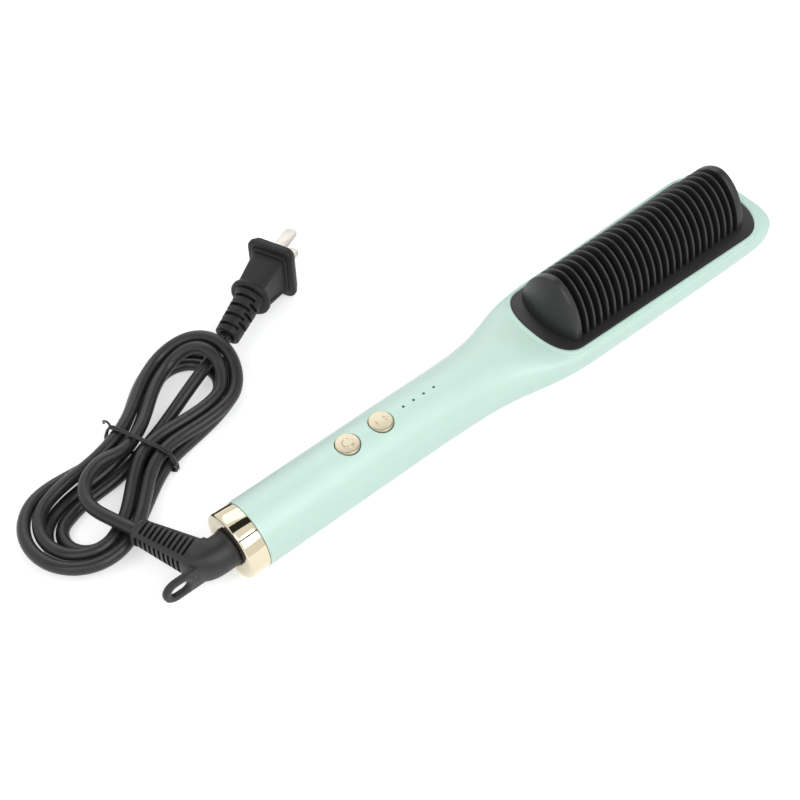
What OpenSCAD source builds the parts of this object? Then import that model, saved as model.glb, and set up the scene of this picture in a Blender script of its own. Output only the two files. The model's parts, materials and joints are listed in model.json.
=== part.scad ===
// Hot comb with a swivelling mains lead, lying on its back with its lead folded and tied beside it.
// X runs along the handle towards the head, Z is up, and the table is z = 0.

/* [Comb body] */
// Length from the end ring's face to the tip of the head
comb_len = 304; // [300:1:312]
// Diameter of the handle
handle_d = 30.6; // [30.2:0.1:31]
// Half width of the head at its widest
head_half_w = 26; // [25.6:0.1:27]
// Height of the head's front face above the table
head_top = 22; // [21.8:0.1:22.4]
// Wall thickness of the two housings
wall = 2.2; // [1.8:0.1:2.4]
// Height of the seam between the front and rear housings
seam_z = 6.5; // [5:0.5:7]

/* [Swivel] */
// Outer diameter of the gold end ring
ring_d = 30.5; // [29.5:0.5:30.5]
// Length of the end ring
ring_len = 9.5; // [9:0.1:10]
// Diameter of the swivel's stem
stem_d = 17; // [16:0.5:18]
// Radial running clearance of the stem in the end ring
stem_fit = 0.06; // [0.04:0.01:0.1]

/* [Comb] */
// Number of guard ribs
rib_count = 23; // [15:1:23]
// Distance from one rib to the next
rib_pitch = 4.245; // [4:0.005:4.245]
// Thickness of a rib
rib_t = 1.3; // [1:0.1:1.6]
// Half width of the ribs at their feet
rib_half_w = 17.7; // [16:0.1:18]
// Height of the ribs above the guard's plate
rib_h = 24.6; // [20:0.1:26]
// How far the heated fins stay below the guard's ribs
fin_depth = 3.8; // [3:0.1:5]

/* [Buttons] */
// Diameter of the two buttons
button_d = 10.6; // [9:0.1:11]
// Travel of a button
button_travel = 0.4; // [0.2:0.1:0.5]

/* [Mains lead] */
// Diameter of the lead
cord_d = 5.8; // [5.4:0.1:5.8]
// Radius of the hank's inner folds
fold_r = 12.5; // [12.5:0.5:14]
// Distance from one strand to the next at the folds
fold_step = 6.5; // [6.5:0.1:6.7]
// Height from one layer of strands to the next
layer_step = 6.3; // [6.3:0.1:6.5]
// Half length of the hank's runs, between the centres of its folds
run_half = 41.2; // [41:0.1:44]

/* [Hidden] */

$fn = 48;
MINT = [0.84, 0.95, 0.9];
GOLD = [0.88, 0.8, 0.62];
BLACK = [0.2, 0.2, 0.21];
METAL = [0.75, 0.75, 0.76];
BRASS = [0.8, 0.66, 0.35];

axis_z = handle_d / 2;          // height of the handle's axis
over = 1;                       // how far a cutter runs past what it cuts
touch_gap = 0.15;               // gap between pieces that are put together by hand
move_gap = 0.35;                // gap between pieces that move past each other

// ---- Housing shape -------------------------------------------------------
// Stations along the handle: x, half width, height of the widest level, height of the top, and
// the exponents that round the upper and the lower half of the section.
STATIONS = [
    [ring_len, handle_d / 2, axis_z, handle_d, 2, 2],
    [80, handle_d / 2 + 0.1, axis_z, handle_d - 0.1, 2, 2],
    [110, handle_d / 2 + 0.3, 15, handle_d - 1, 2, 2],
    [130, 16.3, 14.6, 27.9, 2.1, 2.05],
    [142, 17.7, 14.5, 26.8, 2.3, 2.1],
    [152, 20, 15, 25.4, 2.8, 2.15],
    [162, 22.6, 16, 23.4, 3.8, 2.2],
    [172, 24.3, 16.8, head_top + 0.2, 4.8, 2.3],
    [184, head_half_w - 0.9, 17, head_top, 5, 2.3],
    [280, head_half_w, 17, head_top, 5, 2.3]
];
LAST = len(STATIONS) - 1;
TIP_FROM = STATIONS[LAST][0];   // where the plan starts to round towards the tip
SECTION_X = [ring_len, 45, 80, 98, 112, 122, 130, 137, 143, 148, 153, 158, 163, 168, 173, 178, 184, 232, 280];
TIP_PARTS = [0.4, 0.62, 0.78, 0.89, 0.95, 0.985, 0.999];
AROUND = 36;                    // points round a section
rest_cut = 0.25;                // how deep the round back is cut flat where it rests

function slope(k, c) = k <= 0 || k >= LAST ? 0 :
    (STATIONS[k + 1][c] - STATIONS[k - 1][c]) / (STATIONS[k + 1][0] - STATIONS[k - 1][0]);
function hermite(t, p0, p1, m0, m1) =
    p0 * (2 * t ^ 3 - 3 * t ^ 2 + 1) + m0 * (t ^ 3 - 2 * t ^ 2 + t) +
    p1 * (3 * t ^ 2 - 2 * t ^ 3) + m1 * (t ^ 3 - t ^ 2);
function interval(x, k = 0) = k >= LAST - 1 || x <= STATIONS[k + 1][0] ? k : interval(x, k + 1);
function station(x, c) =
    let (
        k = interval(x),
        a = STATIONS[k],
        b = STATIONS[k + 1],
        w = b[0] - a[0]
    )
    hermite((x - a[0]) / w, a[c], b[c], slope(k, c) * w, slope(k + 1, c) * w);
function signed_pow(v, e) = sign(v) * abs(v) ^ e;

// One section of the housing, inset from its outer skin. Tip is 0 before the head's rounded end
// and goes to 1 there.
function section(x, inset, tip = 0) =
    let (
        at = max(ring_len, min(x, TIP_FROM)),
        w = (station(at, 1) - inset) * (1 - tip ^ 4) ^ (1 / 4),
        mid = station(at, 2),
        up = (station(at, 3) - mid - inset) * (1 - tip ^ 5) ^ (1 / 5),
        down = (mid + rest_cut - inset) * (1 - tip ^ 3) ^ (1 / 3)
    )
    [for (i = [0:AROUND - 1])
        let (
            a = 360 * (i + 0.5) / AROUND,
            e = 2 / station(at, sin(a) > 0 ? 4 : 5),
            h = sin(a) > 0 ? up : down
        )
        [x, w * signed_pow(cos(a), e), mid + h * signed_pow(sin(a), e)]];

// A closed skin through rings that all have the same number of points.
module skin(rings) {
    n = len(rings[0]);
    last = len(rings) - 1;
    sides = [for (i = [0:last - 1], j = [0:n - 1])
        let (k = (j + 1) % n)
        each [
            [i * n + j, (i + 1) * n + j, (i + 1) * n + k],
            [i * n + j, (i + 1) * n + k, i * n + k]
        ]];
    start = [for (j = [1:n - 2]) [0, j, j + 1]];
    finish = [for (j = [1:n - 2]) [last * n, last * n + j + 1, last * n + j]];
    polyhedron(points = [for (r = rings) each r], faces = concat(start, sides, finish), convexity = 6);
}

module housing_skin(inset, start) {
    tip_len = comb_len - inset - TIP_FROM;
    skin([
        for (x = SECTION_X) section(x == ring_len ? start : x, inset),
        for (t = TIP_PARTS) section(TIP_FROM + tip_len * t, inset, t)
    ]);
}

module half_space(z0, z1) {
    translate([-10, -60, z0]) cube([comb_len + 20, 120, z1 - z0]);
}

// ---- The guard plate's outline -------------------------------------------
plate_top = 22.5;
plate_bottom = 19.9;
ledge_inset = -2.2;             // the ledge that carries the plate reaches this far inside its outline
PLATE_NEAR = [178, 12.2, 21.2, 2.5];   // start of the near end, its length, half width, exponent
PLATE_FAR = [280, 17, 23.5, 2.3];      // the same for the far end
ARC_STEPS = 10;

// Points of the plate's outline, grown outwards by g.
function quarter(p, g, dir, side) =
    [for (i = [0:ARC_STEPS])
        let (a = 90 * i / ARC_STEPS)
        [p[0] + dir * (p[1] + g) * sin(a) ^ (2 / p[3]), side * (p[2] + g) * cos(a) ^ (2 / p[3])]];
function backwards(list) = [for (i = [len(list) - 1:-1:0]) list[i]];
function plate_outline(g) = concat(
    quarter(PLATE_FAR, g, 1, -1),
    backwards([for (i = [0:ARC_STEPS - 1]) quarter(PLATE_FAR, g, 1, 1)[i]]),
    quarter(PLATE_NEAR, g, -1, 1),
    backwards([for (i = [0:ARC_STEPS - 1]) quarter(PLATE_NEAR, g, -1, -1)[i]])
);

module plate_slab(g, z0, z1) {
    translate([0, 0, z0]) linear_extrude(z1 - z0) polygon(plate_outline(g));
}

// ---- Small helpers -------------------------------------------------------
module placed() {
    translate([-comb_len / 2, 0, 0]) children();
}

module post(x, y, z0, z1, r) {
    translate([x, y, z0]) cylinder(h = z1 - z0, r = r);
}

module bar_x(x0, x1, y, z, r) {
    translate([x0, y, z]) rotate([0, 90, 0]) cylinder(h = x1 - x0, r = r);
}

module block(x, y, z) {
    translate([x[0], y[0], z[0]]) cube([x[1] - x[0], y[1] - y[0], z[1] - z[0]]);
}

// A turned piece about the handle's axis, from points of radius and x.
module turned(points) {
    translate([0, 0, axis_z]) rotate([0, 90, 0]) rotate_extrude() polygon(points);
}

function unit(v) = v / norm(v);
function direction(p, i) = unit(p[min(i + 1, len(p) - 1)] - p[max(i - 1, 0)]);

// A round tube along a route, with a ring at each of its points.
module tube_along(route, r, sides) {
    skin([for (i = [0:len(route) - 1])
        let (
            t = direction(route, i),
            s = unit(cross(t, [0, 0, 1])),
            u = cross(s, t)
        )
        [for (j = [0:sides - 1])
            let (a = -360 * (j + 0.5) / sides)
            route[i] + r * (cos(a) * s + sin(a) * u)]]);
}

// ---- Housings ------------------------------------------------------------
BUTTON_X = [61.7, 79.5];
LED_X = [for (i = [0:3]) 91.7 + 5.6 * i];
led_r = 0.6;
board_z = [20, 21.6];           // underside and top of the control board
BOARD_POST_X = [40, 116];
HOUSING_SCREWS = [[30.3, 29], [136, 26], [160, 22.5], [297.8, 18.2]];     // x and the front post's top
screw_seat = 5;                 // height of the screw heads' seats
HOOK_X = [198, 262];            // where the rear housing's side hooks start
CLAMP_SCREWS = [[174, 9], [174, -9], [288.5, 9], [288.5, -9]];

module front_housing() color(MINT) placed() difference() {
    union() {
        difference() {
            intersection() {
                housing_skin(0, ring_len);
                half_space(seam_z, 40);
            }
            housing_skin(wall, ring_len - over);
        }
        difference() {
            plate_slab(1.7, 19, 22.3);
            plate_slab(ledge_inset, 18, 23);
        }
        difference() {
            plate_slab(0.9, 17.8, plate_bottom);
            plate_slab(ledge_inset, 17, 23);
        }
        for (s = HOUSING_SCREWS) post(s[0], 0, seam_z, s[1], 3.1);
        for (x = BOARD_POST_X) post(x, 0, board_z[1], station(x, 3) - 1, 3);
    }
    plate_slab(touch_gap, plate_bottom, 30);
    plate_slab(ledge_inset, 16, 30);
    for (x = BUTTON_X) post(x, 0, 24, 34, button_d / 2 + move_gap);
    for (x = LED_X) post(x, 0, 24, 34, led_r + 0.05);
    for (s = HOUSING_SCREWS) post(s[0], 0, 0, 16, 1.2);
    for (x = BOARD_POST_X) post(x, 0, 20, 26.5, 1.2);
}

module rear_housing() color(MINT) placed() difference() {
    union() {
        difference() {
            intersection() {
                housing_skin(0, ring_len);
                half_space(0, seam_z);
            }
            housing_skin(wall, ring_len - over);
        }
        for (s = HOUSING_SCREWS) post(s[0], 0, s[0] > TIP_FROM ? 3.5 : 1, seam_z, 3.4);
        for (x = HOOK_X, side = [-1, 1])
            block([x, x + 6], side > 0 ? [16.4, 17.4] : [-17.4, -16.4], [4.4, 10]);
    }
    for (s = HOUSING_SCREWS) {
        post(s[0], 0, -over, screw_seat, 2.6);
        post(s[0], 0, 0, 10, 1.35);
    }
}

module end_ring() color(GOLD) placed() turned([
    [stem_d / 2 + stem_fit, 0], [ring_d / 2 - 0.8, 0], [ring_d / 2 - 0.25, 0.25],
    [ring_d / 2, 0.8], [ring_d / 2, ring_len], [12.9, ring_len], [12.9, 12.6],
    [stem_d / 2 + stem_fit, 12.6]
]);

// ---- Comb ----------------------------------------------------------------
comb_x = 183.5;                 // the first rib's centre
wall_near = [176.5, 179.9];     // the guard's end walls
wall_far = [280.5, 284.3];
dome_l = 4.7;                   // how far a wall's rounded outside bulges past it
RIB_STEPS = 14;
rib_feet = plate_top - 0.5;     // the ribs' feet run a little into the plate
rib_depth = 6;                  // how deep a rib's band is
window_w = 29.2;                // width of the opening between the ribs' feet

// Half of the ribs' outline, from one foot to the other, inset by g.
function arch(g, feet) =
    [for (i = [0:RIB_STEPS])
        let (a = 180 * i / RIB_STEPS)
        [(rib_half_w - g) * signed_pow(cos(a), 1.1), feet + (plate_top + rib_h - g - feet) * sin(a) ^ 1.1]];

// A slice across the comb, from x0 to x1, of an outline in y and z.
module slice(x0, x1, outline) {
    translate([x0, 0, 0]) rotate([90, 0, 90]) linear_extrude(x1 - x0) polygon(outline);
}

module guard_dome(x, dir) {
    skin([for (a = dir > 0 ? [0, 30, 52, 70, 84] : [84, 70, 52, 30, 0])
        [for (p = arch(0, plate_top)) [
            x + dir * dome_l * sin(a), p[0] * cos(a), rib_feet + (p[1] - rib_feet) * cos(a)]]]);
}

module comb_guard() color(BLACK) placed() difference() {
    union() {
        difference() {
            plate_slab(0, plate_bottom, plate_top);
            block([wall_near[1], wall_far[0]], [-window_w / 2, window_w / 2], [19, 24]);
        }
        slice(wall_near[0], wall_near[1], arch(0, rib_feet));
        slice(wall_far[0], wall_far[1], arch(0, rib_feet));
        guard_dome(wall_near[0], -1);
        guard_dome(wall_far[1], 1);
        for (i = [0:rib_count - 1]) {
            x = comb_x + rib_pitch * i;
            slice(x - rib_t / 2, x + rib_t / 2,
                concat(arch(0, rib_feet), backwards(arch(rib_depth, rib_feet))));
        }
        for (s = CLAMP_SCREWS) post(s[0], s[1], 14.2, plate_bottom, 2.8);
    }
    for (s = CLAMP_SCREWS) post(s[0], s[1], 12, 21, 1.2);
}

module heating_comb() color(METAL) placed() union() {
    block([wall_near[1] - 0.7, wall_far[0] + 0.7], [-16.5, 16.5], [16.9, plate_bottom]);
    slice(wall_near[1] + 0.2, wall_far[0] - 0.2, concat([[-11.3, 19], [11.3, 19]], arch(6.4, 19)));
    for (i = [0:rib_count - 2]) {
        x = comb_x + rib_pitch * (i + 0.5);
        slice(x - 0.6, x + 0.6, arch(fin_depth, 19));
    }
}

// ---- Heater --------------------------------------------------------------
film_z = [14.2, 16.9];
clamp_z = [12.4, 14.2];
shield_z = [11.2, 12.4];

module ptc_heaters() color([0.45, 0.42, 0.4]) placed()
    for (x = [194, 232.5]) block([x, x + 35], [-8, 8], [film_z[0] + 0.2, film_z[1] - 0.2]);

module heater_film() color([0.85, 0.55, 0.2]) placed() difference() {
    block([190, 271.5], [-8.6, 8.6], film_z);
    block([189, 272.5], [-8.2, 8.2], [film_z[0] + 0.2, film_z[1] - 0.2]);
}

module clamp_sheet(z, x0, x1) difference() {
    block([x0, x1], [-13.8, 13.8], z);
    for (s = CLAMP_SCREWS) post(s[0], s[1], z[0] - over, z[1] + over, 1.45);
}

module heater_clamp() color(METAL) placed() clamp_sheet(clamp_z, 170.2, 292.3);

module heat_shield() color([0.86, 0.82, 0.72]) placed() clamp_sheet(shield_z, 169.4, 293);

module thermal_fuse() color([0.9, 0.88, 0.8]) placed() union() {
    bar_x(200, 209, 11.3, 15.55, 1.3);
    bar_x(209, 213, 11.3, 15.55, 0.4);
}

module temperature_sensor() color([0.3, 0.25, 0.22]) placed() union() {
    bar_x(200, 203.5, -11.3, 15.55, 1.1);
    translate([203.5, -11.3, 15.55]) sphere(r = 1.1);
}

// ---- Electronics ---------------------------------------------------------
module control_board() color([0.15, 0.4, 0.25]) placed() difference() {
    block([34, 122], [-9, 9], board_z);
    for (x = BOARD_POST_X) post(x, 0, 19, 23, 1.45);
}

module tact_switch(x) difference() {
    block([x - 3, x + 3], [-3, 3], [board_z[1], 24.4]);
    post(x, 0, 22.6, 25, 1.7 + move_gap);
}

module power_switch() color(BLACK) placed() tact_switch(BUTTON_X[0]);

module mode_switch() color(BLACK) placed() tact_switch(BUTTON_X[1]);

flange_z = [25.3, 26.1];
cap_top = 31;

module plunger(x) post(x, 0, 23.3, flange_z[0], 1.7);

module button(x) translate([x, 0, 0]) rotate_extrude() polygon([
    [0, flange_z[0]], [6.2, flange_z[0]], [6.2, flange_z[1]], [button_d / 2, flange_z[1]],
    [button_d / 2, cap_top - 0.9], [button_d / 2 - 0.35, cap_top - 0.35],
    [button_d / 2 - 1, cap_top - 0.12], [0, cap_top]
]);

module power_button() color(GOLD) placed() button(BUTTON_X[0]);

module mode_button() color(GOLD) placed() button(BUTTON_X[1]);

module power_plunger() color(BLACK) placed() plunger(BUTTON_X[0]);

module mode_plunger() color(BLACK) placed() plunger(BUTTON_X[1]);

module status_leds() color([0.9, 0.95, 0.9]) placed()
    for (x = LED_X) block([x - 1, x + 1], [-0.65, 0.65], [board_z[1], 22.5]);

module light_guide() color([0.2, 0.4, 0.3]) placed() union() {
    block([88.6, 111.6], [-1.5, 1.5], [22.9, 24.1]);
    for (x = [89.3, 110.9]) post(x, 0, board_z[1], 23, 0.7);
    for (x = LED_X) post(x, 0, 24, station(x, 3) - 0.15, led_r);
}

module controller_chip() color(BLACK) placed() union() {
    block([47, 56], [-2, 2], [board_z[1] + 0.1, 23.2]);
    for (x = [48:1.27:55], s = [-1, 1])
        block([x - 0.2, x + 0.2], s > 0 ? [1.9, 3.1] : [-3.1, -1.9], [board_z[1], 21.9]);
}

module film_capacitor() color([0.75, 0.65, 0.2]) placed()
    block([84, 102], [-3, 3], [9.5, board_z[0]]);

module triac() color(BLACK) placed() difference() {
    union() {
        block([66, 70.5], [-5, 5], [8.5, 17.5]);
        block([69.2, 70.5], [-5, 5], [3.6, 8.5]);
        for (y = [-2.54, 0, 2.54]) block([67.6, 68.4], [y - 0.4, y + 0.4], [17.5, board_z[0]]);
    }
    bar_x(68, 72, 0, 6, 1.8);
}

module fusible_resistor() color([0.5, 0.65, 0.75]) placed() union() {
    bar_x(46, 57, 5.5, 17.8, 2.2);
    for (x = [45.2, 57.2]) block([x, x + 0.6], [5.2, 5.8], [17.5, board_z[0]]);
}

// ---- Swivel --------------------------------------------------------------
stem_r = stem_d / 2;
neck_r = 6;                     // radius of the core where the collar and the slip rings sit
ring_r = 6.6;                   // outer radius of the slip rings
SLIP_X = [18, 22.4];            // where the slip rings start
slip_l = 2.4;
core_face = 0;                  // where the core meets the strain relief, in the end ring's bore

module swivel_core() color(BLACK) placed() turned([
    [0, core_face], [stem_r, core_face], [stem_r, 12.6], [neck_r, 12.6], [neck_r, 15.8],
    [7.4, 15.8], [7.4, 17.2], [neck_r, 17.2], [neck_r, 26.2], [0, 26.2]
]);

module slip_rings() color(BRASS) placed()
    for (x = SLIP_X) turned([[neck_r, x], [ring_r, x], [ring_r, x + slip_l], [neck_r, x + slip_l]]);

module retaining_collar() color(METAL) placed() difference() {
    turned([[neck_r + 0.4, 13], [12.8, 13], [12.8, 15.4], [neck_r + 0.4, 15.4]]);
    block([12, 16], [-neck_r - 0.4, neck_r + 0.4], [0, axis_z]);
}

module brush_pads(grow) {
    for (x = SLIP_X)
        block([x + 0.3 - grow, x + slip_l - 0.3 + grow], [-1.5 - grow, 1.5 + grow],
            [axis_z + ring_r + move_gap, axis_z + 11.5]);
}

module brush_holder() color([0.85, 0.82, 0.75]) placed() difference() {
    turned([[8.2, 17.6], [12.7, 17.6], [12.7, 26.5], [8.2, 26.5]]);
    brush_pads(0);
}

module contact_brushes() color([0.55, 0.4, 0.3]) placed() brush_pads(0);

// ---- Wires and screws ----------------------------------------------------
HEATER_WIRES = [
    [[119, 5, 19.2], [126, 5.2, 18], [140, 5.2, 16], [158, 5.2, 15.6], [172, 5.2, 15.6], [180, 6, 15.6],
        [187, 10, 15.6], [193, 11.3, 15.6], [200, 11.3, 15.6]],
    [[119, -3.8, 19.2], [125, -4.2, 18.2], [131, -4.4, 17.2], [145, -4.4, 16], [165, -4.4, 15.6],
        [190, -3, 15.6]]
];
SENSOR_WIRE = [[119, -7, 19.5], [126, -7, 18.5], [140, -7, 16.5], [158, -6.2, 15.6], [172, -5.6, 15.6],
    [180, -6.4, 15.6], [187, -10, 15.6], [193, -11.3, 15.6], [200, -11.3, 15.6]];
BRUSH_WIRE = [[26.5, 10, 15], [28.5, 10, 15.2], [31, 9.5, 16.8], [34, 8, 18.6], [37, 7.5, 19.25],
    [40, 7.5, 19.25]];

function mirrored(route) = [for (p = route) [p[0], -p[1], p[2]]];

module heater_wires() color([0.7, 0.15, 0.12]) placed() for (w = HEATER_WIRES) tube_along(w, 0.7, 8);

module sensor_wires() color([0.95, 0.95, 0.95]) placed() tube_along(SENSOR_WIRE, 0.45, 6);

module brush_wires() color([0.2, 0.25, 0.6]) placed() {
    tube_along(BRUSH_WIRE, 0.7, 8);
    tube_along(mirrored(BRUSH_WIRE), 0.7, 8);
}

module screw(x, y, head_z, tip_z, head_r, r) {
    difference() {
        post(x, y, head_z - 1.8, head_z, head_r);
        block([x - 1.5, x + 1.5], [y - 0.3, y + 0.3], [head_z - 2.8, head_z - 1.1]);
        block([x - 0.3, x + 0.3], [y - 1.5, y + 1.5], [head_z - 2.8, head_z - 1.1]);
    }
    post(x, y, head_z, tip_z, r);
}

module board_screws() color(METAL) placed() for (x = BOARD_POST_X) screw(x, 0, board_z[0], 26, 2.3, 1.2);

module clamp_screws() color(METAL) placed()
    for (s = CLAMP_SCREWS) screw(s[0], s[1], shield_z[0], 20.5, 2.4, 1.2);

module housing_screws() color(METAL) placed()
    for (s = HOUSING_SCREWS) screw(s[0], 0, screw_seat, 15.5, 2.4, 1.2);

// ---- Strain relief and hanging loop --------------------------------------
boot_r = 8.35;                  // radius of the boot at its bend
boot_step = 0.2;                // step between the bend and the straight parts that run into it
bend_r = 9;                     // radius of the bend's centre line
boot_turn = 68.3;               // how far the boot turns from the handle's axis
sleeve_neck = 3;                // the boot draws in over this length to its tapered sleeve
sleeve_l = 25.2;                // length of the neck and the sleeve
sleeve_r = 7.2;                 // the sleeve's radius at the neck
sleeve_end_r = 5.2;
boot_corner_x = -11.5;          // where the two straight centre lines would meet
bend_run = bend_r * tan(boot_turn / 2);
slot_count = 10;                // slots on each of the sleeve's four sides
slot_start = 0.8;
slot_pitch = 2.4;
slot_w = 1;
slot_depth = 1.7;

function sleeve_radius(along) = along < sleeve_neck ?
    boot_r + (sleeve_r - boot_r) * along / sleeve_neck :
    sleeve_r + (sleeve_end_r - sleeve_r) * (along - sleeve_neck) / (sleeve_l - sleeve_neck);

// The frame of the sleeve, with its start at the origin and X along it.
module on_sleeve() {
    translate([boot_corner_x - bend_run * cos(boot_turn), bend_run * sin(boot_turn), axis_z])
        rotate([0, 0, 180 - boot_turn])
            children();
}

module strain_relief() color(BLACK) placed() difference() {
    union() {
        bar_x(boot_corner_x + bend_run - boot_step, core_face, 0, axis_z, boot_r - boot_step);
        translate([boot_corner_x + bend_run, bend_r, axis_z])
            rotate([0, 0, -90 - boot_turn])
                rotate_extrude(angle = boot_turn) translate([bend_r, 0]) circle(r = boot_r);
        on_sleeve() rotate([0, 90, 0]) rotate_extrude() polygon([
            [0, -boot_step], [boot_r - boot_step, -boot_step], [sleeve_r, sleeve_neck],
            [sleeve_end_r, sleeve_l], [0, sleeve_l]
        ]);
        on_sleeve() bar_x(sleeve_l, sleeve_l + 2, 0, 0, sleeve_end_r - 0.4);
        block([loop_x, web_end_x], loop_y, [loop_z - loop_r, loop_z + loop_r]);
    }
    for (i = [0:slot_count - 1], side = [0:3]) {
        along = slot_start + slot_pitch * (i + (side % 2) / 2);
        r = sleeve_radius(along);
        on_sleeve() rotate([90 * side, 0, 0])
            block([along, along + slot_w], [-0.6 * r, 0.6 * r], [r - slot_depth, r + over]);
    }
}

loop_x = -20.5;                 // where the loop meets the boot's web
web_end_x = -8;                 // where the web ends, inside the boot
loop_y = [-3, 0];               // the loop's thickness
loop_z = axis_z - 1.4;          // height of its middle
loop_r = 6.2;                   // its outer radius
loop_tip = -33;
hole_r = 3;
HOLE_X = [-27.2, -24.6];        // centres of the hole's two ends

module across_loop(x, r, y0, y1) {
    translate([x, y1, loop_z]) rotate([90, 0, 0]) cylinder(h = y1 - y0, r = r);
}

module hanging_loop() color(BLACK) placed() difference() {
    union() {
        block([loop_tip + loop_r, loop_x], loop_y, [loop_z - loop_r, loop_z + loop_r]);
        across_loop(loop_tip + loop_r, loop_r, loop_y[0], loop_y[1]);
    }
    for (x = HOLE_X) across_loop(x, hole_r, loop_y[0] - over, loop_y[1] + over);
    block(HOLE_X, [loop_y[0] - over, loop_y[1] + over], [loop_z - hole_r, loop_z + hole_r]);
}

// ---- Mains lead ----------------------------------------------------------
// The hank lies in its own frame: u runs along it towards the plug, v across it.
hank_at = [1.8, 69.6];
hank_turn = 23.4;

function from_hank(p) = [
    hank_at[0] + p[0] * cos(hank_turn) - p[1] * sin(hank_turn),
    hank_at[1] + p[0] * sin(hank_turn) + p[1] * cos(hank_turn),
    p[2]
];
module on_hank() {
    translate([hank_at[0], hank_at[1], 0]) rotate([0, 0, hank_turn]) children();
}

low_z = 3;                      // height of the lower layer's strands
high_z = low_z + layer_step;
top_z = high_z + layer_step;
low_step = 6.7;                 // distances between the strands at the waist, in the lower layer
high_step = 7.4;                // and in the upper one
hump_h = 7.4;                   // how far the upper folds rise over the strand to the plug
waist_lift = 1.3;               // the tie passes under the strands
waist_half = 20;
LEAD_END = [-22.9, 7.5];        // where the lead joins the hank
PLUG_TAIL = [69.8, -3, 10.65];
FOLD_RINGS = 7;
RUN_RINGS = 5;

function ease(t) = let (c = max(0, min(1, t))) c * c * (3 - 2 * c);
function swing(u) = (1 - cos(180 * abs(u) / run_half)) / 2;
function lifted(p) = [p[0], p[1], p[2] +
    (abs(p[0]) < waist_half ? waist_lift * (1 + cos(180 * p[0] / waist_half)) / 2 : 0)];
function drop(q) = let (c = max(0, min(1, q))) high_z - layer_step * (0.35 * c + 0.65 * ease(c));

// A half turn at the hank's far end (end = 1) or near end (end = -1), from radius ra to rb.
function fold(end, ra, rb, z, hump, n) =
    [for (k = [0:n - 1])
        let (f = k / n, a = 180 * f, r = ra + (rb - ra) * f)
        [end * (run_half + r * sin(a)), end * r * cos(a), z + hump * sin(a) ^ 2]];

// A run on one side, from the near end to the far end (way = 1) or back, drawn in to w at the waist.
function run(side, way, w, near_r, far_r, z, n) =
    [for (k = [0:n - 1])
        let (u = way * run_half * (2 * k / n - 1), r = u < 0 ? near_r : far_r)
        [u, side * (w + (r - w) * swing(u)), z]];

drop_from = (fold_r + 1.75 * fold_step) * PI / 3;   // length of the fold's part that drops
drop_l = drop_from + run_half - 4;

function dropping_fold(ra, rb, n) =
    [for (k = [0:n - 1])
        let (f = k / n, a = 180 * f, r = ra + (rb - ra) * f)
        [-run_half - r * sin(a), -r * cos(a), drop((f * 3 - 2) * drop_from / drop_l)]];
function dropping_run(w, near_r, far_r, n) =
    [for (p = run(1, 1, w, near_r, far_r, 0, n)) [p[0], p[1], drop((drop_from + p[0] + run_half) / drop_l)]];

function first_run(n) =
    [for (k = [0:n - 1])
        let (
            u = LEAD_END[0] + (run_half - LEAD_END[0]) * k / n,
            w = high_step / 2,
            d = u - LEAD_END[0],
            z = top_z - layer_step * ease((d - 4) / 22)
        )
        [u, u < 0 ? LEAD_END[1] + (w - LEAD_END[1]) * ease((d - 3) / 14) : w + (fold_r - w) * swing(u), z]];
function last_run(n) =
    [for (k = [0:2 * n])
        let (
            u = -run_half + (PLUG_TAIL[0] + run_half) * k / (2 * n),
            v = u < 0 ? (fold_r - fold_step / 2) * swing(u) : PLUG_TAIL[1] * ease(u / 62)
        )
        [u, v, low_z + layer_step * ease((u - 6) / 48) + 0.084 * max(0, u - 54)]];

// The hank's whole route, with nf points to a fold and nr to a run.
function hank_route(nf, nr) = let (s = fold_step, r = fold_r) [for (p = concat(
    first_run(2 * nr),
    fold(1, r, r + s / 2, high_z, hump_h, nf),
    run(-1, -1, high_step / 2, r + s / 2, r + s / 2, high_z, nr),
    fold(-1, r + s / 2, r + s, high_z, 0, nf),
    run(1, 1, 1.5 * high_step, r + s, r + s, high_z, nr),
    fold(1, r + s, r + 1.5 * s, high_z, hump_h, nf),
    run(-1, -1, 1.5 * high_step, r + 1.5 * s, r + 1.5 * s, high_z, nr),
    dropping_fold(r + 1.5 * s, r + 2 * s, nf),
    dropping_run(2 * low_step, r + 2 * s, r + 1.5 * s, nr),
    fold(1, r + 1.5 * s, r + s, low_z, 0, nf),
    run(-1, -1, 2 * low_step, r + s, r + s, low_z, nr),
    fold(-1, r + s, r + s / 2, low_z, 0, nf),
    run(1, 1, low_step, r + s / 2, r + s / 2, low_z, nr),
    fold(1, r + s / 2, r, low_z, 0, nf),
    run(-1, -1, low_step, r, r, low_z, nr),
    fold(-1, r, r - s / 2, low_z, 0, nf),
    last_run(nr)
)) lifted(p)];

// The least gap of the hank to itself, between points and the pieces of the route far from them.
function to_piece(p, a, b) =
    let (d = b - a, t = max(0, min(1, (p - a) * d / (d * d)))) norm(p - a - t * d);
function least_gap(p, skip) = min([for (i = [0:len(p) - 1], j = [i + skip:len(p) - 2])
    to_piece(p[i], p[j], p[j + 1])]) - cord_d;

// The free stretch from the sleeve's end over the hank, in the hank's frame.
LEAD = [[-38.86, -25.29, 15.3], [-38.69, -19.5, 15.3], [-38.6, -14, 15.4], [-38.5, -8.5, 15.6],
    [-37.8, -3.5, 15.6], [-36, 0.5, 15.6], [-33, 4, 15.6], [-30, 6, 15.6], [-26.7, 7.2, 15.6],
    [-24.6, 7.5, 15.6], [-23.3, 7.5, 15.6]];

module cord_lead() color(BLACK) placed() tube_along([for (p = LEAD) from_hank(p)], cord_d / 2, 8);

module cord_hank() color(BLACK) placed() {
    echo(least_gap = least_gap(hank_route(14, 14), 8));
    tube_along([for (p = hank_route(FOLD_RINGS, RUN_RINGS)) from_hank(p)], cord_d / 2, 6);
}

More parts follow.
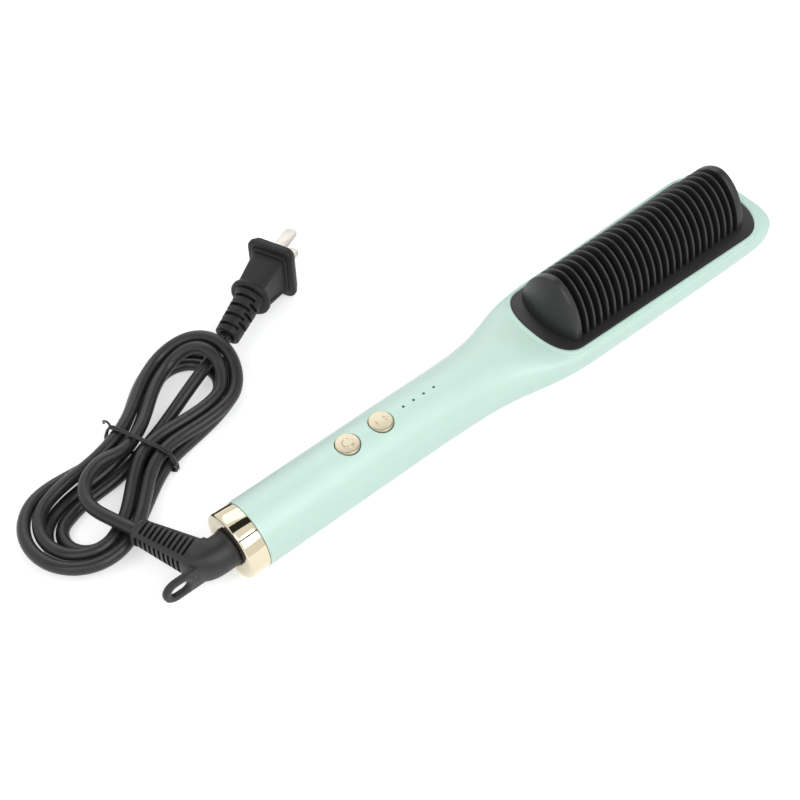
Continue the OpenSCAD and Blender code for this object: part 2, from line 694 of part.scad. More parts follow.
tie_w = 1.6;
TIE_INNER = [[-17.2, 0.75], [17.2, 0.75], [17.6, 4.4], [16.8, 7.4], [15, 12.4], [13.4, 13.9], [-13.4, 13.9],
    [-15, 12.4], [-16.8, 7.4], [-17.6, 4.4]];
TIE_OUTER = [[-17.8, 0.1], [17.8, 0.1], [18.7, 4.5], [17.8, 7.8], [16, 13], [13.8, 15], [-13.8, 15],
    [-16, 13], [-17.8, 7.8], [-18.7, 4.5]];

module cord_tie() color(BLACK) placed() on_hank() union() {
    translate([1.5 - tie_w / 2, 0, 0]) rotate([90, 0, 90]) linear_extrude(tie_w) difference() {
        polygon(TIE_OUTER);
        polygon(TIE_INNER);
    }
    for (s = [-1, 1])
        translate([1.5 + 0.5 * s, 13.6, 14.4]) rotate([-50, 20 * s, 0]) cylinder(h = 9, r = 0.5);
}

// ---- Plug ----------------------------------------------------------------
plug_z = 14.9;                  // height of the plug's axis
relief_l = 22;                  // length of its slotted strain relief
tail_rise = 4.8;                // slope of the lead where it enters the strain relief
flange_u = PLUG_TAIL[0] + 21.2; // where its round flange starts
flange_t = 3;
face_u = flange_u + flange_t + 17.4;    // where its face flange starts
blade_gap = 12.7;

// A rectangle with round corners, w by h, as an outline.
function rounded(w, h, r) =
    [for (c = [[1, 1], [-1, 1], [-1, -1], [1, -1]], i = [0:5])
        let (a = (c[1] > 0 ? (c[0] > 0 ? 0 : 90) : (c[0] > 0 ? 270 : 180)) + 18 * i)
        [c[0] * (w / 2 - r) + r * cos(a), c[1] * (h / 2 - r) + r * sin(a)]];

// A plate across the plug's axis.
module plug_plate(u, t, w, h, r) {
    translate([u, PLUG_TAIL[1], plug_z]) rotate([90, 0, 90]) linear_extrude(t) polygon(rounded(w, h, r));
}

module plug_body() color(BLACK) placed() on_hank() union() {
    translate(PLUG_TAIL) rotate([0, 90 - tail_rise, 0]) cylinder(h = 1.5, r = 5.4);
    translate(PLUG_TAIL) rotate([0, 90 - asin((plug_z - PLUG_TAIL[2]) / relief_l), 0]) {
        translate([0, 0, 0.7]) cylinder(h = relief_l - 0.7, r = 4.6);
        for (i = [0:4]) translate([0, 0, 4.4 * i + 0.7]) cylinder(h = 2.8, r = 6 + 0.13 * i);
        for (a = [0:90:270]) rotate([0, 0, a]) translate([3.6, -1.2, 1]) cube([2.2, 2.4, relief_l - 2]);
    }
    translate([flange_u, PLUG_TAIL[1], plug_z]) rotate([0, 90, 0]) cylinder(h = flange_t, r = 10);
    hull() {
        plug_plate(flange_u + flange_t - 0.1, 0.1, 13, 17, 3);
        plug_plate(face_u, 0.1, 16, 22, 3);
    }
    plug_plate(face_u, 2.8, 23.5, 29.6, 4.5);
    plug_plate(face_u + 2.8, 2.2, 21.6, 27.6, 4);
}

module plug_blades() color(METAL) placed() on_hank()
    for (s = [-1, 1])
        translate([face_u + 5, PLUG_TAIL[1], plug_z + s * blade_gap / 2 - 0.75])
            linear_extrude(1.5) polygon([[0, -3.15], [14.6, -3.15], [16.4, -1.9], [17, 0], [16.4, 1.9],
                [14.6, 3.15], [0, 3.15]]);

front_housing();
rear_housing();
end_ring();
comb_guard();
heating_comb();
ptc_heaters();
heater_film();
heater_clamp();
heat_shield();
thermal_fuse();
temperature_sensor();
control_board();
power_switch();
mode_switch();
power_button();
mode_button();
power_plunger();
mode_plunger();
status_leds();
light_guide();
controller_chip();
film_capacitor();
triac();
fusible_resistor();
brush_holder();
contact_brushes();
brush_wires();
heater_wires();
sensor_wires();
board_screws();
clamp_screws();
housing_screws();
retaining_collar();
strain_relief();
hanging_loop();
swivel_core();
slip_rings();
cord_lead();
cord_hank();
cord_tie();
plug_body();
plug_blades();
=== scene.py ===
"""Hot comb with a swivelling mains lead, lying on its back beside its tied lead.

Every piece is modelled in metres in the comb's own frame. X runs along the handle towards the
head, Z is up and the table is z = 0. Sizes in the tables below are in millimetres, with x counted
from the end ring's face.
"""

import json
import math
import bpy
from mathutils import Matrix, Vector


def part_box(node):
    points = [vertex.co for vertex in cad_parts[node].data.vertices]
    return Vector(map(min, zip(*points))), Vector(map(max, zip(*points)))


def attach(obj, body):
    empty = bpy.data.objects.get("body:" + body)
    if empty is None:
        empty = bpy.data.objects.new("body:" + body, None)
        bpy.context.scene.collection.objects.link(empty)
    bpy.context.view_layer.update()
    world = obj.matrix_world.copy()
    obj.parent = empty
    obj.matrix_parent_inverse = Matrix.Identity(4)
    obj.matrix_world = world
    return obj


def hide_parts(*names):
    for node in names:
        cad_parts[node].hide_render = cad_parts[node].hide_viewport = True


bl_info = {
    "name": "Hot Comb",
    "version": (1, 0, 0),
    "blender": (4, 5, 0),
    "location": "3D View > Sidebar > Hot Comb",
    "description": "Models a straightening comb, its mains lead and its studio stage",
    "category": "Add Mesh",
}

import bpy
from bpy.props import FloatProperty, FloatVectorProperty, IntProperty, PointerProperty
from mathutils import Matrix, Vector

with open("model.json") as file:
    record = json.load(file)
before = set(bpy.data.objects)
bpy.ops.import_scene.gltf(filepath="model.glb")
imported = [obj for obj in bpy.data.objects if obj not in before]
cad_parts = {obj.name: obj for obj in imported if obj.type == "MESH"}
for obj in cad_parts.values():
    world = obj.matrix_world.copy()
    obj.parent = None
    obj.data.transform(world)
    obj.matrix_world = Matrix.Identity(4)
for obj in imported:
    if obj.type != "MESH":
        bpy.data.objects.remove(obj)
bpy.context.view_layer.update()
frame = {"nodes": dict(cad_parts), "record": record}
MM = 0.001
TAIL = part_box("end_ring")[0].x
AXIS_Z = (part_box("end_ring")[0].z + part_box("end_ring")[1].z) / 2 / MM
PLATE_TOP = 22.5
SEAM_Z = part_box("front_housing")[0].z / MM
SEAM_GAP = 0.02
UP = Vector((0, 0, 1))

# Colours that both a property and a plain solid use
MINT = (0.67, 0.885, 0.785)
CHAMPAGNE = (0.73, 0.65, 0.48)
SHEATH_BLACK = (0.016, 0.016, 0.017)
NICKEL = (0.56, 0.53, 0.48)


def at(x, y, z):
    """A point given in millimetres from the comb's tail, in metres in the frame."""
    return Vector((TAIL + x * MM, y * MM, z * MM))


# ---------------------------------------------------------------- properties


class CombSizes(bpy.types.PropertyGroup):
    """Sizes that a user would change."""

    cord_diameter: FloatProperty(
        name="Lead diameter", description="Thickness of the mains lead", default=0.0058,
        min=0.004, max=0.008, subtype="DISTANCE", unit="LENGTH")
    rib_count: IntProperty(
        name="Guard ribs", description="Number of ribs over the heated fins", default=23,
        min=3, max=30)
    rib_crest: FloatProperty(
        name="Rib crest", description="Thickness of a guard rib at its crest", default=0.0010,
        min=0.0005, max=0.0013, subtype="DISTANCE", unit="LENGTH")
    rib_foot: FloatProperty(
        name="Rib foot", description="Thickness of a guard rib at its foot", default=0.0016,
        min=0.0005, max=0.0020, subtype="DISTANCE", unit="LENGTH")
    lip_height: FloatProperty(
        name="Lip height", description="How far the lip round the guard's plate stands up",
        default=0.00035, min=0.0001, max=0.001, subtype="DISTANCE", unit="LENGTH")


class CombColours(bpy.types.PropertyGroup):
    """Colours that a user would change."""

    housing: FloatVectorProperty(
        name="Housing", description="Colour of the moulded housings", subtype="COLOR", size=3,
        default=MINT, min=0, max=1)
    gold: FloatVectorProperty(
        name="Gold", description="Colour of the ring and the buttons", subtype="COLOR", size=3,
        default=CHAMPAGNE, min=0, max=1)
    guard: FloatVectorProperty(
        name="Guard", description="Colour of the guard and its plate", subtype="COLOR", size=3,
        default=(0.018, 0.017, 0.018), min=0, max=1)
    lead: FloatVectorProperty(
        name="Lead", description="Colour of the lead, boot and plug", subtype="COLOR", size=3,
        default=SHEATH_BLACK, min=0, max=1)
    stage: FloatVectorProperty(
        name="Stage", description="Colour of the floor", subtype="COLOR", size=3,
        default=(0.86, 0.86, 0.86), min=0, max=1)


# ---------------------------------------------------------------- modelling helpers


def deselect():
    """Leaves edit mode and selects nothing."""
    if bpy.context.mode != "OBJECT":
        bpy.ops.object.mode_set(mode="OBJECT")
    bpy.ops.object.select_all(action="DESELECT")


def pick(*objects):
    """Selects only these objects and makes the first one active."""
    deselect()
    for obj in objects:
        obj.select_set(True)
    bpy.context.view_layer.objects.active = objects[0]
    return objects[0]


def named(obj, name):
    """Names an object and its mesh."""
    obj.name = name
    obj.data.name = name
    return obj


def apply_place(obj):
    """Puts an object's place, turn and scale into its mesh."""
    pick(obj)
    bpy.ops.object.transform_apply(location=True, rotation=True, scale=True)
    return obj


def mesh_piece(name, points, faces):
    """An object with a mesh of these points and faces."""
    mesh = bpy.data.meshes.new(name)
    mesh.from_pydata([tuple(p) for p in points], [], faces)
    mesh.validate()
    obj = bpy.data.objects.new(name, mesh)
    bpy.context.scene.collection.objects.link(obj)
    return obj


def outward(obj):
    """Merges doubles and turns all faces outwards."""
    pick(obj)
    bpy.ops.object.mode_set(mode="EDIT")
    bpy.ops.mesh.select_all(action="SELECT")
    bpy.ops.mesh.remove_doubles(threshold=0.000002)
    bpy.ops.mesh.normals_make_consistent(inside=False)
    bpy.ops.object.mode_set(mode="OBJECT")
    return obj


def modify(obj, kind, **settings):
    """Adds a modifier and applies it."""
    pick(obj)
    modifier = obj.modifiers.new(kind.title(), kind)
    for key, value in settings.items():
        setattr(modifier, key, value)
    bpy.ops.object.modifier_apply(modifier=modifier.name)
    return obj


def bevel(obj, width, segments=2, angle=35):
    """Rounds the edges that are sharper than angle; width is in millimetres."""
    return modify(obj, "BEVEL", width=width * MM, segments=segments, limit_method="ANGLE",
                  angle_limit=math.radians(angle), harden_normals=False)


def cut(obj, cutter):
    """Takes the cutter out of an object and deletes the cutter."""
    modify(obj, "BOOLEAN", operation="DIFFERENCE", object=cutter, solver="EXACT")
    bpy.data.objects.remove(cutter)
    return obj


def smooth(obj, angle):
    """Shades an object smooth, apart from edges that are sharper than angle."""
    pick(obj)
    bpy.ops.object.shade_smooth_by_angle(angle=math.radians(angle))
    return obj


def join(name, objects):
    """Joins objects into the first one."""
    pick(*objects)
    if len(objects) > 1:
        bpy.ops.object.join()
    return named(bpy.context.view_layer.objects.active, name)


def copy_of(obj, offset):
    """A copy with its own mesh, moved by offset."""
    twin = obj.copy()
    twin.data = obj.data.copy()
    twin.data.transform(Matrix.Translation(offset))
    bpy.context.scene.collection.objects.link(twin)
    return twin


def skin(name, rings, capped=True):
    """A mesh through closed rings that all have the same number of points."""
    count = len(rings[0])
    points = [p for ring in rings for p in ring]
    faces = []
    for i in range(len(rings) - 1):
        for j in range(count):
            k = (j + 1) % count
            faces.append((i * count + j, i * count + k, (i + 1) * count + k, (i + 1) * count + j))
    if capped:
        last = (len(rings) - 1) * count
        faces.append(tuple(range(count)))
        faces.append(tuple(last + j for j in range(count)))
    return outward(mesh_piece(name, points, faces))


def slab(name, outline, push):
    """A plate: a face on the outline's points, extruded by push."""
    obj = mesh_piece(name, outline, [tuple(range(len(outline)))])
    pick(obj)
    bpy.ops.object.mode_set(mode="EDIT")
    bpy.ops.mesh.select_all(action="SELECT")
    bpy.ops.mesh.extrude_region_move(TRANSFORM_OT_translate={"value": tuple(push)})
    bpy.ops.object.mode_set(mode="OBJECT")
    return outward(obj)


def cylinder(name, start, end, radius, sides=48):
    """A cylinder between two points in metres, with its radius in millimetres."""
    deselect()
    run = end - start
    turn = run.to_track_quat("Z", "Y").to_euler()
    bpy.ops.mesh.primitive_cone_add(
        vertices=sides, radius1=radius * MM, radius2=radius * MM, depth=run.length,
        location=(start + end) / 2, rotation=turn)
    return apply_place(named(bpy.context.view_layer.objects.active, name))


def cube(name, low, high):
    """A box between two corners in metres."""
    deselect()
    bpy.ops.mesh.primitive_cube_add(size=1, location=(low + high) / 2, scale=high - low)
    return apply_place(named(bpy.context.view_layer.objects.active, name))


def turned(name, profile, origin, axis, sides=96):
    """A turned piece: profile holds (radius, distance along axis) in millimetres."""
    side = axis.orthogonal().normalized()
    points = [origin + side * r * MM + axis * d * MM for r, d in profile]
    obj = mesh_piece(name, points, [])
    mesh = obj.data
    mesh.edges.add(len(points) - 1)
    for i, edge in enumerate(mesh.edges):
        edge.vertices = (i, i + 1)
    pick(obj)
    bpy.ops.object.mode_set(mode="EDIT")
    bpy.ops.mesh.select_all(action="SELECT")
    bpy.ops.mesh.spin(steps=sides, angle=2 * math.pi, center=origin, axis=axis)
    bpy.ops.object.mode_set(mode="OBJECT")
    return outward(obj)


def finished(obj, body, material, replaced=()):
    """Gives a piece its material and ties it to the frame."""
    obj.data.materials.clear()
    obj.data.materials.append(material)
    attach(obj, body)
    if replaced:
        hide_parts(*replaced)
    return obj


# ---------------------------------------------------------------- materials


BROADER = 18
NOISE_RANGE = (0.3, 0.7)
GRAIN_HEIGHT = 0.0002


def grained(name, colour, roughness, metallic=0.0, spread=0.06, grain=900.0, bump=0.04,
            tint=0.04, coat=0.0, ior=1.5, specular=0.5, stretch=(1, 1, 1)):
    """A surface with fine grain: its colour, roughness and height vary a little over it."""
    material = bpy.data.materials.new(name)
    material.use_nodes = True
    nodes, links = material.node_tree.nodes, material.node_tree.links
    shader = nodes["Principled BSDF"]
    shader.inputs["Metallic"].default_value = metallic
    shader.inputs["IOR"].default_value = ior
    shader.inputs["Specular IOR Level"].default_value = specular
    shader.inputs["Coat Weight"].default_value = coat
    shader.inputs["Coat Roughness"].default_value = 0.12
    place = nodes.new("ShaderNodeTexCoord")
    mapping = nodes.new("ShaderNodeMapping")
    mapping.inputs["Scale"].default_value = stretch
    links.new(place.outputs["Object"], mapping.inputs["Vector"])
    fine = nodes.new("ShaderNodeTexNoise")
    fine.inputs["Scale"].default_value = grain
    fine.inputs["Detail"].default_value = 4
    broad = nodes.new("ShaderNodeTexNoise")
    broad.inputs["Scale"].default_value = grain / BROADER
    broad.inputs["Detail"].default_value = 3
    for noise in (fine, broad):
        links.new(mapping.outputs["Vector"], noise.inputs["Vector"])
    shades = nodes.new("ShaderNodeValToRGB")
    dark, light = shades.color_ramp.elements
    dark.position, light.position = NOISE_RANGE
    dark.color = (*[c * (1 - tint) for c in colour], 1)
    light.color = (*[min(1, c * (1 + tint)) for c in colour], 1)
    links.new(broad.outputs["Fac"], shades.inputs["Fac"])
    links.new(shades.outputs["Color"], shader.inputs["Base Color"])
    rough = nodes.new("ShaderNodeMapRange")
    rough.inputs["From Min"].default_value = NOISE_RANGE[0]
    rough.inputs["From Max"].default_value = NOISE_RANGE[1]
    rough.inputs["To Min"].default_value = max(0.02, roughness - spread)
    rough.inputs["To Max"].default_value = roughness + spread
    links.new(fine.outputs["Fac"], rough.inputs["Value"])
    links.new(rough.outputs["Result"], shader.inputs["Roughness"])
    height = nodes.new("ShaderNodeBump")
    height.inputs["Strength"].default_value = bump
    height.inputs["Distance"].default_value = GRAIN_HEIGHT
    links.new(fine.outputs["Fac"], height.inputs["Height"])
    links.new(height.outputs["Normal"], shader.inputs["Normal"])
    return material


def colours():
    """The scene's colours for the comb."""
    return bpy.context.scene.comb_colours


def sizes():
    """The scene's sizes for the comb."""
    return bpy.context.scene.comb_sizes


# ---------------------------------------------------------------- camera and stage

CAMERA_AT = Vector((-0.3035, -0.2928, 0.5160))
CAMERA_YAW = math.radians(39.51)
CAMERA_PITCH = math.radians(51.66)
CAMERA_ROLL = math.radians(-1.01)
CAMERA_LENS = 66.51
CAMERA_SENSOR = 36


class COMB_OT_camera(bpy.types.Operator):
    """Adds the camera at the comb's three-quarter view"""

    bl_idname = "comb.camera"
    bl_label = "Camera"

    def execute(self, context):
        forward = Vector((math.sin(CAMERA_YAW) * math.cos(CAMERA_PITCH),
                          math.cos(CAMERA_YAW) * math.cos(CAMERA_PITCH), -math.sin(CAMERA_PITCH)))
        level = Vector((math.cos(CAMERA_YAW), -math.sin(CAMERA_YAW), 0))
        rise = level.cross(forward)
        right = level * math.cos(CAMERA_ROLL) + rise * math.sin(CAMERA_ROLL)
        up = rise * math.cos(CAMERA_ROLL) - level * math.sin(CAMERA_ROLL)
        deselect()
        bpy.ops.object.camera_add(location=CAMERA_AT)
        camera = bpy.context.object
        turn = Matrix((right, up, -forward)).transposed().to_4x4()
        camera.matrix_world = Matrix.Translation(CAMERA_AT) @ turn
        camera.data.lens = CAMERA_LENS
        camera.data.sensor_width = CAMERA_SENSOR
        camera.data.clip_start = 0.01
        context.scene.camera = camera
        return {"FINISHED"}


LAMPS = (
    # name, place, size, power in watts
    ("key_softbox", (0.10, -0.75, 0.85), 0.7, 4.7),
    ("fill_softbox", (-0.70, -0.10, 0.80), 0.7, 2.5),
    ("back_softbox", (0.35, 0.80, 0.75), 0.8, 1.8),
)
# Black flags that only reflections show: name, angle from upright, width as an angle, in degrees
FLAGS = (("flag_high", -9, 24), ("flag_low", 34, 5))
FLAG_X = 30
FLAG_FAR = 0.55
FLAG_LEN = 1.6
FLOOR_SIZE = 6
FLOOR_DROP = 0.0002
FLOOR_GLOW = 0.5
LIT_CENTRE = Vector((0, 0.02, 0))
AMBIENT = 0.46


def seen_rays(nodes, links):
    """A factor that is 1 for rays that show the background: camera, glossy and transmission."""
    path = nodes.new("ShaderNodeLightPath")
    first = nodes.new("ShaderNodeMath")
    first.operation = "MAXIMUM"
    second = nodes.new("ShaderNodeMath")
    second.operation = "MAXIMUM"
    links.new(path.outputs["Is Camera Ray"], first.inputs[0])
    links.new(path.outputs["Is Glossy Ray"], first.inputs[1])
    links.new(first.outputs[0], second.inputs[0])
    links.new(path.outputs["Is Transmission Ray"], second.inputs[1])
    return second.outputs[0]


def stage_world():
    """White surroundings that light the object at the ambient level only."""
    world = bpy.data.worlds.new("studio")
    world.use_nodes = True
    nodes, links = world.node_tree.nodes, world.node_tree.links
    nodes.clear()
    light = nodes.new("ShaderNodeBackground")
    light.inputs["Color"].default_value = (0.95, 0.97, 1.0, 1)
    light.inputs["Strength"].default_value = AMBIENT
    shown = nodes.new("ShaderNodeBackground")
    shown.inputs["Color"].default_value = (1, 1, 1, 1)
    shown.inputs["Strength"].default_value = 1
    mix = nodes.new("ShaderNodeMixShader")
    links.new(seen_rays(nodes, links), mix.inputs[0])
    links.new(light.outputs[0], mix.inputs[1])
    links.new(shown.outputs[0], mix.inputs[2])
    output = nodes.new("ShaderNodeOutputWorld")
    links.new(mix.outputs[0], output.inputs[0])
    bpy.context.scene.world = world


def stage_flags():
    """Black cards above the handle, which draw the dark stripes on the polished ring."""
    black = bpy.data.materials.new("stage_flag")
    black.use_nodes = True
    shader = black.node_tree.nodes["Principled BSDF"]
    shader.inputs["Base Color"].default_value = (0.02, 0.018, 0.016, 1)
    shader.inputs["Roughness"].default_value = 1
    for name, angle, width in FLAGS:
        tilt = math.radians(angle)
        middle = at(FLAG_X, 0, AXIS_Z) + Vector((0, -math.sin(tilt), math.cos(tilt))) * FLAG_FAR
        deselect()
        bpy.ops.mesh.primitive_plane_add(size=1, location=middle, rotation=(tilt, 0, 0))
        flag = bpy.context.object
        flag.scale = (FLAG_LEN, 2 * FLAG_FAR * math.tan(math.radians(width) / 2), 1)
        flag = apply_place(named(flag, name))
        flag.data.materials.append(black)
        flag.visible_camera = flag.visible_diffuse = False
        flag.visible_shadow = flag.visible_transmission = False


def stage_floor_material():
    """A matt floor that keeps the object's shadow and shows almost white."""
    material = bpy.data.materials.new("stage_floor")
    material.use_nodes = True
    nodes, links = material.node_tree.nodes, material.node_tree.links
    nodes.clear()
    matt = nodes.new("ShaderNodeBsdfDiffuse")
    matt.inputs["Color"].default_value = (*colours().stage, 1)
    lift = nodes.new("ShaderNodeEmission")
    lift.inputs["Color"].default_value = (1, 1, 1, 1)
    lift.inputs["Strength"].default_value = FLOOR_GLOW
    both = nodes.new("ShaderNodeAddShader")
    links.new(matt.outputs[0], both.inputs[0])
    links.new(lift.outputs[0], both.inputs[1])
    mix = nodes.new("ShaderNodeMixShader")
    links.new(seen_rays(nodes, links), mix.inputs[0])
    links.new(matt.outputs[0], mix.inputs[1])
    links.new(both.outputs[0], mix.inputs[2])
    output = nodes.new("ShaderNodeOutputMaterial")
    links.new(mix.outputs[0], output.inputs[0])
    return material


class COMB_OT_stage(bpy.types.Operator):
    """Adds the floor, the soft lamps, the black flags and the white surroundings"""

    bl_idname = "comb.stage"
    bl_label = "Stage"

    def execute(self, context):
        deselect()
        bpy.ops.mesh.primitive_plane_add(size=FLOOR_SIZE, location=(0, 0, -FLOOR_DROP))
        floor = apply_place(named(bpy.context.object, "stage_floor"))
        floor.data.materials.append(stage_floor_material())
        for name, place, size, power in LAMPS:
            deselect()
            bpy.ops.object.light_add(type="AREA", location=place)
            lamp = named(bpy.context.object, name)
            lamp.data.size = size
            lamp.data.energy = power
            aim = LIT_CENTRE - Vector(place)
            lamp.rotation_euler = aim.to_track_quat("-Z", "Y").to_euler()
        stage_flags()
        stage_world()
        context.scene.view_settings.view_transform = "Standard"
        return {"FINISHED"}


# ---------------------------------------------------------------- mains lead

# The hank has its own frame: u runs along it towards the plug, v across it.
HANK_AT = (1.8, 69.6)
HANK_TURN = math.radians(23.4)
# Radius of the innermost fold, and what the folds and the layers add
FOLD_R = 12.5
FOLD_STEP = 6.5
LAYER_STEP = 6.3
RUN_HALF = 41.2
LOW_Z = 3
HIGH_Z = LOW_Z + LAYER_STEP
TOP_Z = HIGH_Z + LAYER_STEP
# Spacing of the strands at the waist, in the lower and the upper layer
LOW_STEP = 6.7
HIGH_STEP = 7.4
# Height of the upper folds over the strand to the plug
HUMP_H = 7.4
WAIST_LIFT = 1.3
WAIST_HALF = 20
LEAD_END = (-22.9, 7.5)
PLUG_TAIL = (69.8, -3, 10.65)
# The free stretch, from the boot to the hank's upper layer
LEAD = (
    (-38.86, -25.29, 15.3), (-38.69, -19.5, 15.3), (-38.6, -14, 15.4), (-38.5, -8.5, 15.6),
    (-37.8, -3.5, 15.6), (-36, 0.5, 15.6), (-33, 4, 15.6), (-30, 6, 15.6), (-26.7, 7.2, 15.6),
    (-24.6, 7.5, 15.6), (-22.9, 7.5, 15.6),
)
# Where a strand starts to move, sideways or in height, and the length that it takes
FIRST_SIDEWAYS = (3, 14)
FIRST_DROP = (4, 22)
LAST_SIDEWAYS = (0, 62)
LAST_RISE = (6, 48)
# Where the strand starts to climb to the plug, and its slope there
LAST_CLIMB = (54, 0.084)
FOLD_POINTS = 16
RUN_POINTS = 14


def hank(u, v, z):
    """A point of the hank's frame, in metres in the comb's frame."""
    c, s = math.cos(HANK_TURN), math.sin(HANK_TURN)
    return at(HANK_AT[0] + u * c - v * s, HANK_AT[1] + u * s + v * c, z)


def hank_way(u, v, z=0.0):
    """A direction of the hank's frame, in the comb's frame."""
    c, s = math.cos(HANK_TURN), math.sin(HANK_TURN)
    return Vector((u * c - v * s, u * s + v * c, z))


def ease(t):
    """A smooth step from 0 to 1."""
    t = max(0.0, min(1.0, t))
    return t * t * (3 - 2 * t)


def eased(value, start, length):
    """A smooth step from 0 at start to 1 after length."""
    return ease((value - start) / length)


def swing(u):
    """0 at the waist and 1 where the folds start."""
    return (1 - math.cos(math.pi * abs(u) / RUN_HALF)) / 2


def fold(end, ra, rb, z, hump=0.0):
    """A half turn at the far end (1) or the near end (-1), from radius ra to rb."""
    for k in range(FOLD_POINTS):
        f = k / FOLD_POINTS
        a = math.pi * f
        r = ra + (rb - ra) * f
        yield end * (RUN_HALF + r * math.sin(a)), end * r * math.cos(a), z + hump * math.sin(a) ** 2


def run(side, way, waist, near_r, far_r, z):
    """A run on one side of the hank, drawn in to waist at its middle."""
    for k in range(RUN_POINTS):
        u = way * RUN_HALF * (2 * k / RUN_POINTS - 1)
        r = near_r if u < 0 else far_r
        yield u, side * (waist + (r - waist) * swing(u)), z


# One strand goes down to the lower layer: it starts in the last third of a fold and ends 4 mm
# before the waist. DROP_EVEN is the share of the way that it goes down evenly.
DROP_FROM = (FOLD_R + 1.75 * FOLD_STEP) * math.pi / 3
DROP_L = DROP_FROM + RUN_HALF - 4
DROP_EVEN = 0.35


def drop(q):
    """Height of the strand that goes from the upper to the lower layer, q of the way down."""
    q = max(0.0, min(1.0, q))
    return HIGH_Z - LAYER_STEP * (DROP_EVEN * q + (1 - DROP_EVEN) * ease(q))


def dropping_fold(ra, rb):
    """The near fold at whose end the strand starts down."""
    for k, (u, v, _) in enumerate(fold(-1, ra, rb, 0)):
        yield u, v, drop((k / FOLD_POINTS * 3 - 2) * DROP_FROM / DROP_L)


def dropping_run(waist, near_r, far_r):
    """The run in which the strand reaches the lower layer."""
    for u, v, _ in run(1, 1, waist, near_r, far_r, 0):
        yield u, v, drop((DROP_FROM + u + RUN_HALF) / DROP_L)


def first_run():
    """From the lead's free stretch, down through the waist, to the first fold."""
    waist = HIGH_STEP / 2
    for k in range(2 * RUN_POINTS):
        u = LEAD_END[0] + (RUN_HALF - LEAD_END[0]) * k / (2 * RUN_POINTS)
        d = u - LEAD_END[0]
        v = LEAD_END[1] + (waist - LEAD_END[1]) * eased(d, *FIRST_SIDEWAYS)
        if u >= 0:
            v = waist + (FOLD_R - waist) * swing(u)
        yield u, v, TOP_Z - LAYER_STEP * eased(d, *FIRST_DROP)


def last_run():
    """From the last fold, through the waist and over the lower folds, to the plug."""
    for k in range(2 * RUN_POINTS + 1):
        u = -RUN_HALF + (PLUG_TAIL[0] + RUN_HALF) * k / (2 * RUN_POINTS)
        v = (FOLD_R - FOLD_STEP / 2) * swing(u)
        if u >= 0:
            v = PLUG_TAIL[1] * eased(u, *LAST_SIDEWAYS)
        climb = LAST_CLIMB[1] * max(0.0, u - LAST_CLIMB[0])
        yield u, v, LOW_Z + LAYER_STEP * eased(u, *LAST_RISE) + climb


def waist_lift(u):
    """How far the strands ride up where the tie draws them together."""
    return WAIST_LIFT * (1 + math.cos(math.pi * u / WAIST_HALF)) / 2 if abs(u) < WAIST_HALF else 0


def hank_route():
    """All points of the hank, from the lead's free stretch to the plug."""
    s, r = FOLD_STEP, FOLD_R
    stretches = (
        first_run(),
        fold(1, r, r + s / 2, HIGH_Z, HUMP_H),
        run(-1, -1, HIGH_STEP / 2, r + s / 2, r + s / 2, HIGH_Z),
        fold(-1, r + s / 2, r + s, HIGH_Z),
        run(1, 1, 1.5 * HIGH_STEP, r + s, r + s, HIGH_Z),
        fold(1, r + s, r + 1.5 * s, HIGH_Z, HUMP_H),
        run(-1, -1, 1.5 * HIGH_STEP, r + 1.5 * s, r + 1.5 * s, HIGH_Z),
        dropping_fold(r + 1.5 * s, r + 2 * s),
        dropping_run(2 * LOW_STEP, r + 2 * s, r + 1.5 * s),
        fold(1, r + 1.5 * s, r + s, LOW_Z),
        run(-1, -1, 2 * LOW_STEP, r + s, r + s, LOW_Z),
        fold(-1, r + s, r + s / 2, LOW_Z),
        run(1, 1, LOW_STEP, r + s / 2, r + s / 2, LOW_Z),
        fold(1, r + s / 2, r, LOW_Z),
        run(-1, -1, LOW_STEP, r, r, LOW_Z),
        fold(-1, r, r - s / 2, LOW_Z),
        last_run(),
    )
    for stretch in stretches:
        for u, v, z in stretch:
            yield u, v, z + waist_lift(u)


def curve_piece(name, points, radius, cyclic=False, order=4, rounds=5, steps=3):
    """A round cord along control points in metres, with its radius in millimetres."""
    data = bpy.data.curves.new(name, "CURVE")
    data.dimensions = "3D"
    spline = data.splines.new("NURBS")
    spline.points.add(len(points) - 1)
    for point, place in zip(spline.points, points):
        point.co = (*place, 1)
    spline.order_u = order
    spline.use_endpoint_u = not cyclic
    spline.use_cyclic_u = cyclic
    spline.resolution_u = steps
    data.bevel_depth = radius * MM
    data.bevel_resolution = rounds
    data.use_fill_caps = True
    obj = bpy.data.objects.new(name, data)
    bpy.context.scene.collection.objects.link(obj)
    return obj


def cord_material():
    """Black PVC of the lead."""
    return grained("black_sheath", colours().lead, 0.36, grain=700, bump=0.1, spread=0.07, tint=0.1)


class COMB_OT_lead(bpy.types.Operator):
    """Adds the mains lead, folded into its hank, as one cord"""

    bl_idname = "comb.lead"
    bl_label = "Mains lead"

    def execute(self, context):
        route = [hank(*p) for p in LEAD[:-1]] + [hank(*p) for p in hank_route()]
        length = sum((b - a).length for a, b in zip(route, route[1:]))
        cord = curve_piece("mains_lead", route, sizes().cord_diameter / 2 / MM)
        finished(cord, "lead", cord_material(), ("cord_lead", "cord_hank"))
        hank(*LEAD[0])
        return {"FINISHED"}


# ---------------------------------------------------------------- comb body

